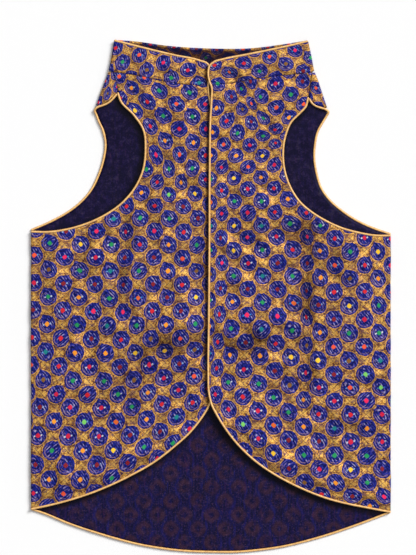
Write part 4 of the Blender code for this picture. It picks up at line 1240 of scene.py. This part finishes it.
class Graph:
    """Short words for wiring the nodes of a material or a group."""

    def __init__(self, tree):
        self.tree = tree

    def node(self, kind, **settings):
        """A new node, with some of its settings changed."""
        node = self.tree.nodes.new(kind)
        for name, value in settings.items():
            setattr(node, name, value)
        return node

    def feed(self, socket, value):
        """Links another node's output to a socket, or gives it a fixed value."""
        if isinstance(value, bpy.types.NodeSocket):
            self.tree.links.new(value, socket)
        else:
            socket.default_value = value

    def wired(self, kind, output, values, **settings):
        """An output of a new node whose inputs have the given values."""
        node = self.node(kind, **settings)
        for socket, value in values.items():
            self.feed(node.inputs[socket], value)
        return node.outputs[output]

    def parts(self, kind, values):
        """The three parts of a vector or a colour."""
        node = self.node(kind)
        self.feed(node.inputs[0], values)
        return node.outputs[0], node.outputs[1], node.outputs[2]

    def math(self, operation, *values):
        return self.wired("ShaderNodeMath", 0, dict(enumerate(values)), operation=operation)

    def add(self, total, *values):
        for value in values:
            total = self.math("ADD", total, value)
        return total

    def times(self, product, *values):
        for value in values:
            product = self.math("MULTIPLY", product, value)
        return product

    def minus(self, value, other):
        return self.math("SUBTRACT", value, other)

    def off(self, value, middle=0.0):
        """How far a value lies from a middle one, on either side."""
        return self.math("ABSOLUTE", self.minus(value, middle))

    def swing(self, value, amount):
        """A value from 0 to 1 as a swing to both sides of 0."""
        return self.times(self.add(value, -0.5), amount)

    def length(self, x, y):
        return self.math("SQRT", self.add(self.times(x, x), self.times(y, y)))

    def turned(self, x, y, lean_x, lean_y):
        """How far a place lies along a slant, and how far across it."""
        along = self.add(self.times(x, lean_x), self.times(y, lean_y))
        return along, self.minus(self.times(y, lean_x), self.times(x, lean_y))

    def mix(self, share, first, second, blend="MIX"):
        """A colour between two."""
        return self.wired("ShaderNodeMix", 2, {0: share, 6: first, 7: second}, data_type="RGBA",
                          blend_type=blend)

    def choose(self, share, first, second):
        """A number between two."""
        return self.wired("ShaderNodeMix", 0, {0: share, 2: first, 3: second}, data_type="FLOAT")

    def tint(self, colour, share, kind):
        """The colour with one of the tints laid over it."""
        name, strength = TINTS[kind]
        return self.mix(self.times(share, strength), colour, DYES[name])

    def rise(self, value, low, high):
        """0 at low and 1 at high, with a soft start and end."""
        return self.wired("ShaderNodeMapRange", 0, {0: value, 1: low, 2: high},
                          interpolation_type="SMOOTHSTEP")

    def step(self, value, kind):
        """One of the soft steps."""
        return self.rise(value, *STEPS[kind])

    def laid(self, colour, value, kind):
        """The colour with a tint laid over it where the tint's own step says."""
        return self.tint(colour, self.step(value, kind), kind)

    def band(self, value, kind):
        """One of the bands: 1 between its limits and 0 outside them."""
        low, high, soft = BANDS[kind]
        return self.times(self.rise(value, low - soft, low + soft),
                          self.rise(value, high + soft, high - soft))

    def place(self, x, y, z=0.0):
        return self.wired("ShaderNodeCombineXYZ", 0, {0: x, 1: y, 2: z})

    def noise(self, place, kind):
        """One of the noises."""
        scale, detail, roughness = NOISES[kind]
        return self.wired("ShaderNodeTexNoise", 0, {"Vector": place, "Scale": scale, "Detail": detail,
                                                    "Roughness": roughness})

    def streaks(self, x, y, kind, z=0.0):
        """One of the noises that are drawn out along one way of the cloth."""
        x_scale, y_scale = DRAWN_OUT[kind]
        return self.noise(self.place(self.times(x, x_scale), self.times(y, y_scale), z), kind)

    def ramp(self, share, colours):
        """One of several colours, each for its own part of the shares from 0 to 1."""
        node = self.node("ShaderNodeValToRGB")
        node.color_ramp.interpolation = "CONSTANT"
        stops = node.color_ramp.elements
        start = 0.0
        for k, (part, colour) in enumerate(colours):
            stop = stops[k] if k < 2 else stops.new(start)
            stop.position = start
            stop.color = dye(*colour)
            start += part
        self.feed(node.inputs[0], share)
        return node.outputs[0]


def weave_group():
    """Threads that go over and under each other, at a size in millimetres: their height and uneven tone."""
    tree = bpy.data.node_groups.new("weave", "ShaderNodeTree")
    tree.interface.new_socket("Place", in_out="INPUT", socket_type="NodeSocketVector")
    tree.interface.new_socket("Thread", in_out="INPUT", socket_type="NodeSocketFloat")
    tree.interface.new_socket("Height", in_out="OUTPUT", socket_type="NodeSocketFloat")
    tree.interface.new_socket("Tone", in_out="OUTPUT", socket_type="NodeSocketFloat")
    g = Graph(tree)
    given, result = g.node("NodeGroupInput"), g.node("NodeGroupOutput")
    across, down, _ = g.parts("ShaderNodeSeparateXYZ", given.outputs["Place"])
    x = g.math("DIVIDE", across, given.outputs["Thread"])
    y = g.math("DIVIDE", down, given.outputs["Thread"])
    turn = g.math("FLOORED_MODULO", g.add(g.math("FLOOR", x), g.math("FLOOR", y)), 2.0)
    warp = g.math("SINE", g.times(g.math("FRACT", x), math.pi))
    weft = g.math("SINE", g.times(g.math("FRACT", y), math.pi))
    height = g.choose(turn, g.times(warp, WARP_HEIGHT), weft)
    g.feed(result.inputs["Height"], height)
    tone = g.add(g.noise(given.outputs["Place"], "thread tone"), g.swing(height, THREAD_TONE))
    g.feed(result.inputs["Tone"], tone)
    return tree


def weave(g, place, thread):
    """The weave group in a material, with its thread's width."""
    node = g.node("ShaderNodeGroup", node_tree=WEAVE)
    g.feed(node.inputs["Place"], place)
    g.feed(node.inputs["Thread"], thread)
    return node.outputs["Height"], node.outputs["Tone"]


def fabric(name):
    """A new material for cloth, its graph and its shader."""
    material = bpy.data.materials.new(name)
    material.use_nodes = True
    material.diffuse_color = dye(*PLAIN_COLOURS[name])
    return material, Graph(material.node_tree), material.node_tree.nodes["Principled BSDF"]


def finish_shader(g, shader, kind, colour, roughness, tone, relief):
    """Gives a cloth's shader its colour, and the roughness and relief of its threads."""
    tone_swing, strength = FINISHES[kind]
    g.feed(shader.inputs["Base Color"], colour)
    g.feed(shader.inputs["Roughness"], g.add(roughness, g.swing(tone, tone_swing)))
    bump = g.wired("ShaderNodeBump", 0, {"Strength": strength, "Distance": MM, "Height": relief})
    g.feed(shader.inputs["Normal"], bump)


def cloth_place(g, column=ROSETTE_COLUMN, row=ROSETTE_ROW):
    """The grain map's column and row, and the same place in millimetres."""
    across, down, _ = g.parts("ShaderNodeSeparateXYZ", g.node("ShaderNodeUVMap", uv_map="grain").outputs[0])
    across_mm, down_mm = g.times(across, column), g.times(down, -row)
    return across, down, across_mm, down_mm, g.place(across_mm, down_mm)


def rosette_cell(g, across, down, across_size=ROSETTE_COLUMN, down_size=ROSETTE_ROW):
    """The nearest rosette: place from its centre in millimetres, its cell, and which of two sets it is in."""
    sets = []
    for half in (0.0, 0.5):
        column = g.add(g.math("FLOOR", g.add(across, 0.5 - half)), half)
        row = g.add(g.math("FLOOR", g.add(down, 0.5 - half)), half)
        x = g.times(g.minus(across, column), across_size)
        y = g.times(g.minus(row, down), down_size)
        sets.append((x, y, g.length(x, y), column, row))
    second = g.math("LESS_THAN", sets[1][2], sets[0][2])
    return [g.choose(second, first, other) for first, other in zip(*sets)] + [second]


def with_painted_shade(g, colour):
    """The colour with painted shade laid in: darker in hollows and close under another layer, navy where
    deepest.
    """
    painted_shade = g.node("ShaderNodeAttribute", attribute_name="painted_shade").outputs["Fac"]
    shaded = g.mix(1.0, colour, DYES["crease"], "MULTIPLY")
    shaded = g.mix(g.times(g.step(painted_shade, "painted_shade"), HOLLOW_SHADE), colour, shaded)
    return g.laid(shaded, painted_shade, "deepest painted shade")


class Rosette:
    """The nearest rosette on the brocade: the way from its centre, its row and set, its chances, its edge."""

    def __init__(self, g, across, down, place):
        shifted = g.wired("ShaderNodeVectorMath", 0, {0: place, 1: WOBBLE_SHIFT}, operation="ADD")
        across = g.add(across, g.swing(g.noise(place, "wobble"), WOBBLE))
        down = g.add(down, g.swing(g.noise(shifted, "wobble"), WOBBLE))
        self.x, self.y, self.away, column, self.row, self.second = rosette_cell(g, across, down)
        chance = g.wired("ShaderNodeTexWhiteNoise", "Color", {"Vector": g.place(column, self.row)},
                         noise_dimensions="2D")
        self.luck, self.mood, self.tilt = g.parts("ShaderNodeSeparateColor", chance)
        self.fine = g.noise(place, "fine")
        other = g.math("LESS_THAN", self.tilt, OTHER_SLANT)
        slant = [g.choose(other, usual, unusual) for usual, unusual in zip(*SLANTS)]
        self.over, self.under = g.turned(self.x, self.y, *slant)
        self.dash = g.streaks(self.over, self.under, "dash", g.times(self.luck, LUCK_SHIFT))
        uneven = g.add(g.swing(self.fine, EDGE_ROUGHNESS[0]), g.swing(self.dash, EDGE_ROUGHNESS[1]))
        self.edge = g.add(self.outline(g), uneven)

    def outline(self, g):
        """Distance from the rosette's even edge, which has a leaf tip up to the right or the left."""
        along, across = g.turned(self.x, self.y, g.choose(self.second, *TIP_LEANS), TIP_UP)
        tip = g.add(g.times(g.off(across), TIP_SLOPES[0]), g.times(g.add(along, -TIP_REACH), TIP_SLOPES[1]))
        tip = g.math("MAXIMUM", tip, g.minus(TIP_START, along))
        size = g.add(ROSETTE_RADIUS, g.swing(self.mood, RADIUS_SWING))
        return g.math("MINIMUM", g.minus(self.away, size), tip)


def rosette_silk(g, rosette, place):
    """The rosette's blue silk, with pale streaks bowed across it and light arcs inside its rim."""
    depth = g.noise(place, "depth")
    bow = g.times(rosette.under, rosette.under, g.choose(rosette.second, *BOWS))
    bow = g.math("SQRT", g.add(g.times(rosette.over, rosette.over), bow))
    lines = g.math("SINE", g.add(g.times(bow, math.tau / STREAK_PITCH), g.times(depth, DEPTH_PHASE),
                                 g.times(rosette.luck, LUCK_PHASE)))
    streak = g.step(lines, "streak")
    pale = g.times(streak, g.step(rosette.dash, "pale"))
    bright = g.times(streak, g.step(rosette.dash, "bright"), g.step(rosette.away, "off the dot"),
                     g.step(rosette.away, "within the rim"))
    worn = g.streaks(rosette.x, rosette.y, "rim", g.times(rosette.mood, MOOD_SHIFT))
    worn = g.add(worn, g.times(g.add(rosette.x, rosette.y), RIM_LIGHT))
    inner_arc = g.times(g.band(rosette.edge, "inner arc"), rosette.second, INNER_ARC)
    arcs = g.math("MAXIMUM", g.band(rosette.edge, "outer arc"), inner_arc)
    silk = g.mix(g.step(depth, "blue"), DYES["blue_deep"], DYES["blue"])
    silk = g.laid(silk, lines, "dark streak")
    silk = g.tint(silk, pale, "pale streak")
    silk = g.tint(silk, bright, "bright streak")
    return g.tint(silk, g.times(arcs, g.step(worn, "rim")), "rim")


def ticked(g, rosette, silk):
    """The silk, with small light ticks on both sides of the dot."""
    slanted = g.add(rosette.y, g.times(rosette.x, TICK_SLANT))
    tick = g.length(g.off(g.off(rosette.x), TICK_PLACE), slanted)
    shows = g.step(g.add(rosette.fine, g.times(rosette.tilt, TICK_LUCK)), "tick shows")
    tick = g.times(g.step(tick, "tick"), shows, TICK_STRENGTH)
    return g.mix(tick, silk, g.mix(rosette.luck, DYES["white"], DYES["sky"]))


def rosette_dot(g, rosette, tone):
    """Where the dot in the rosette's middle is, and its colour, which is mostly red in every other row."""
    square = g.add(g.times(g.off(rosette.x), DOT_SIDES[0]), g.times(g.off(rosette.y), DOT_SIDES[1]))
    size = g.add(g.times(rosette.away, DOT_ROUND), g.times(square, DOT_SQUARE))
    dot = g.step(g.add(size, g.swing(rosette.fine, DOT_ROUGHNESS)), "dot")
    late = g.math("GREATER_THAN", g.add(rosette.row, g.swing(rosette.tilt, DOT_CHANGE_SWING)), DOT_CHANGE_ROW)
    reds = g.minus(1.0, g.off(rosette.second, late))
    reds = g.off(reds, g.math("LESS_THAN", rosette.mood, ODD_DOTS))
    colour = g.mix(reds, g.ramp(rosette.luck, MIXED_DOTS), g.ramp(rosette.luck, RED_DOTS))
    paler = g.mix(DOT_WHITE, colour, DYES["white"])
    return dot, g.mix(g.times(g.step(tone, "dot tone"), DOT_PALE), colour, paler)


def gold_ground(g, rosette, across, down, across_mm, down_mm, place):
    """Mottled gold thread, with broad patches of painted shade, a fine dark trellis between the rosettes and
    a light line round each.
    """
    speck = g.noise(g.place(*g.turned(across_mm, down_mm, 1.0, SPECK_SLANT)), "speck")
    patchy = g.noise(place, "patchy")
    mottles = (speck, patchy, g.step(rosette.edge, "far ground"))
    mottle = g.add(*[g.times(value, share) for value, share in zip(mottles, MOTTLE_SHARES)])
    gold = g.mix(g.step(mottle, "gold"), DYES["umber"], DYES["gold"])
    gold = g.laid(gold, mottle, "light ground")
    gold = g.laid(gold, g.noise(place, "mauve"), "mauve patch")
    # Broad soft patches of painted shade, placed at random
    gold = g.laid(gold, g.streaks(across_mm, down_mm, "broad"), "broad painted shade")
    lines = []
    for sign in (1.0, -1.0):
        phase = g.times(g.add(across, g.times(down, sign)), TRELLIS)
        phase = g.add(phase, g.times(rosette.fine, TRELLIS_WOBBLE))
        lines.append(g.step(g.off(g.math("FRACT", phase), 0.5), "trellis line"))
    broken = g.noise(place, "broken")
    gold = g.tint(gold, g.times(g.math("MAXIMUM", *lines), g.step(broken, "trellis shows")), "trellis")
    gold = g.tint(gold, g.times(*lines, g.step(broken, "knot shows")), "knot")
    ring = g.times(g.band(rosette.edge, "ring shade"), g.step(broken, "ring shade"))
    gold = g.tint(gold, ring, "ring shade")
    flecks = g.times(g.step(g.noise(place, "fleck"), "fleck"), g.step(rosette.edge, "near rosette"))
    gold = g.tint(gold, flecks, "fleck")
    whole = g.times(g.step(speck, "outline speck"), g.step(patchy, "outline patch"))
    return g.tint(gold, g.times(g.band(rosette.edge, "outline"), whole), "outline")


def brocade_material():
    """Gold brocade with rosettes of blue silk, each round a small bright dot."""
    material, g, shader = fabric("brocade")
    across, down, across_mm, down_mm, place = cloth_place(g)
    rosette = Rosette(g, across, down, place)
    threads, tone = weave(g, place, THREADS["brocade"])
    inside = g.step(rosette.edge, "inside")
    dot, dot_colour = rosette_dot(g, rosette, tone)
    colour = g.mix(inside, gold_ground(g, rosette, across, down, across_mm, down_mm, place),
                   ticked(g, rosette, rosette_silk(g, rosette, place)))
    colour = g.mix(dot, colour, dot_colour)
    silk = g.math("MAXIMUM", inside, dot)
    relief = g.add(g.times(threads, THREAD_RELIEF), g.times(g.step(rosette.edge, "silk raised"), SILK_RELIEF),
                   g.times(dot, DOT_RELIEF), g.times(g.step(rosette.edge, "ground raised"), GROUND_RELIEF),
                   g.times(tone, TONE_RELIEF))
    roughness = g.choose(silk, ROUGHNESS["gold"], ROUGHNESS["silk"])
    finish_shader(g, shader, "brocade", with_painted_shade(g, colour), roughness, tone, relief)
    g.feed(shader.inputs["Metallic"], g.times(g.minus(1.0, silk), GOLD_METAL))
    g.feed(shader.inputs["Specular IOR Level"], BROCADE_SPECULAR)
    return material


def lining_material():
    """Navy silk lining, darker towards the top, with faint woven rosettes and a wavy trellis that fade there
    too.
    """
    material, g, shader = fabric("lining")
    across, down, across_mm, down_mm, place = cloth_place(g, LINING_COLUMN, LINING_ROW)
    x, y, away, _, _, _ = rosette_cell(g, across, down, LINING_COLUMN, LINING_ROW)
    threads, tone = weave(g, place, THREADS["lining"])
    fine, cloudy = g.noise(place, "lining fine"), g.noise(place, "lining cloudy")
    streaky = g.streaks(across_mm, down_mm, "lining streaks")
    upper_rows = g.step(down, "plain rows")
    uneven = g.swing(fine, DISC_ROUGHNESS)
    size = g.add(g.times(away, DISC_ROUND), g.times(g.add(g.off(x), g.off(y)), DISC_SQUARE), uneven)
    disc = g.times(g.band(size, "lining disc"), g.step(g.noise(place, "lining soft"), "disc shows"))
    bend = g.add(TRELLIS_PLACE, g.times(g.math("COSINE", g.times(down, math.tau)), TRELLIS_BEND))
    line_off = g.times(g.off(g.off(g.math("FRACT", across), 0.5), bend), LINING_COLUMN)
    trellis = g.times(g.step(g.add(line_off, uneven), "lining trellis"),
                      g.step(streaky, "lining trellis shows"),
                      g.minus(1.0, g.times(upper_rows, TRELLIS_PLAIN)))
    navy = g.add(g.times(streaky, NAVY_SHARES[0]), g.times(fine, NAVY_SHARES[1]))
    colour = g.mix(g.step(navy, "navy"), DYES["navy_deep"], DYES["navy"])
    colour = g.tint(colour, g.choose(upper_rows, disc, PLAIN_DISC), "lining disc")
    colour = g.laid(colour, streaky, "wine")
    colour = g.tint(colour, trellis, "lining trellis")
    for noise, kind in ((fine, "lining fine"), (cloudy, "lining olive"), (cloudy, "lining deep")):
        name, figured, unfigured = LINING_TINTS[kind]
        colour = g.mix(g.times(g.step(noise, kind), g.choose(upper_rows, figured, unfigured)), colour, DYES[name])
    # Darker in the upper rows
    colour = g.tint(colour, upper_rows, "upper_rows")
    relief = g.add(g.times(threads, THREAD_RELIEF), g.times(disc, DISC_RELIEF))
    # With the shade painted beside the fronts' edges
    finish_shader(g, shader, "lining", with_painted_shade(g, colour), ROUGHNESS["lining"], tone, relief)
    g.feed(shader.inputs["Specular IOR Level"], LINING_SPECULAR)
    return material


def satin_material():
    """Gold satin cut on the bias, with a slanting weave, a painted highlight on top and painted shade down
    its sides.
    """
    material, g, shader = fabric("satin")
    along, around, _ = g.parts("ShaderNodeSeparateXYZ", g.node("ShaderNodeUVMap", uv_map="grain").outputs[0])
    threads, tone = weave(g, g.place(g.add(along, around), g.minus(along, around)), THREADS["satin"])
    soft = g.streaks(along, around, "satin")
    off_top = g.off(around, PIPING_WIDTH * math.pi / 4)
    colour = g.mix(g.step(soft, "satin"), DYES["satin_deep"], DYES["satin"])
    colour = g.laid(colour, tone, "satin tone")
    # A painted highlight along the top of the piping, and painted shade down its sides
    colour = g.laid(colour, off_top, "satin top highlight")
    colour = g.laid(colour, off_top, "satin side shade")
    relief = g.add(g.times(threads, THREAD_RELIEF), g.times(soft, SATIN_RELIEF))
    finish_shader(g, shader, "satin", colour, ROUGHNESS["satin"], tone, relief)
    g.feed(shader.inputs["Sheen Weight"], SATIN_SHEEN)
    return material


WEAVE = weave_group()
BROCADE, LINING, SATIN = brocade_material(), lining_material(), satin_material()


def make_cloth():
    """The cloth pieces: fronts, back, lining and collar."""
    pieces = {}
    cuts = {
        "front_left": (front_panel(SIDES["left"]), FRONT_WALL, BROCADE, LINING),
        "front_right": (front_panel(SIDES["right"]), FRONT_WALL, BROCADE, LINING),
        "back": (back_panel(), BACK_WALL, BROCADE, LINING),
        "back_lining": (back_lining(), LINING_WALL, LINING, LINING),
        "collar": (collar_band(), COLLAR_WALL, BROCADE, BROCADE),
    }
    for node, (patches, wall, outer, inner) in cuts.items():
        middle = 0.0 if node == "back_lining" else (EDGE_LEVEL + BACK_LEVEL) / 2
        piece = cloth(f"{node}_cloth", patches, wall, middle, outer, inner)
        pieces[node] = (piece, cut_area(patches))
    return pieces


def make_piping():
    """The satin piping along every open edge."""
    routes = {"piping_hem_back": at_level(smooth_curve(BACK_HEM)[:, None], LOWER_PIPING_LEVEL)[:, 0]}
    for name, side in SIDES.items():
        routes[f"piping_front_{name}"] = top_route(side, side.opening)
        routes[f"piping_armhole_{name}_front"] = top_route(side, side.armhole)
        routes[f"piping_armhole_{name}_back"] = armhole_back_route(side)
    return {node: piping(f"{node}_satin", route, SATIN, seed)
            for seed, (node, route) in enumerate(routes.items())}


def declare(cloths, pipes):
    """Tells the frame how the pieces ride, on its root, and hides the solids that they stand for."""
    for node, (piece, _) in cloths.items():
        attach(piece, "root")
        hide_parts(node)
    for node, piece in pipes.items():
        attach(piece, "root")
        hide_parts(node)
    for node, (width, length, rests, trims) in SHEETS.items():
        piece, area = cloths[node]


def studio():
    """Pale floor, soft light from the upper right, and a camera straight above, as in the photo."""
    bpy.ops.mesh.primitive_plane_add(size=FLOOR_SIZE, location=(0.0, 0.0, -FLOOR_DROP * MM))
    floor = bpy.context.object
    floor.name = "floor"
    pale = bpy.data.materials.new("floor")
    pale.use_nodes = True
    shader = pale.node_tree.nodes["Principled BSDF"]
    shader.inputs["Base Color"].default_value = DYES["floor"]
    shader.inputs["Roughness"].default_value = FLOOR_ROUGHNESS
    floor.data.materials.append(pale)
    for name, towards, width, strength in LIGHTS:
        light = bpy.data.lights.new(name, "SUN")
        light.angle = math.radians(width)
        light.energy = strength
        lamp = placed(name, light)
        lamp.location = towards
        lean = math.acos(towards[2] / np.linalg.norm(towards))
        lamp.rotation_euler = (lean, 0.0, math.atan2(towards[0], -towards[1]))
    world = bpy.data.worlds.new("studio")
    bpy.context.scene.world = world
    world.use_nodes = True
    sky = world.node_tree.nodes["Background"].inputs
    sky["Color"].default_value = (1.0, 1.0, 1.0, 1.0)
    sky["Strength"].default_value = WORLD_STRENGTH
    camera = bpy.data.cameras.new("camera")
    camera.lens = CAMERA_LENS
    camera.sensor_width = CAMERA_SENSOR
    camera.clip_end = CAMERA_REACH
    eye = placed("camera", camera)
    middle = ((PHOTO_SIZE[0] / 2 - PHOTO_MIDDLE[0]) * PHOTO_SCALE * MM,
              (PHOTO_MIDDLE[1] - PHOTO_SIZE[1] / 2) * PHOTO_SCALE * MM)
    away = max(PHOTO_SIZE) * PHOTO_SCALE * CAMERA_LENS / CAMERA_SENSOR + EDGE_LEVEL
    eye.location = (*middle, away * MM)
    bpy.context.scene.camera = eye
    bpy.context.scene.view_settings.view_transform = "Standard"


bpy.ops.object.select_all(action="DESELECT")
cloths, pipes = make_cloth(), make_piping()
declare(cloths, pipes)
studio()
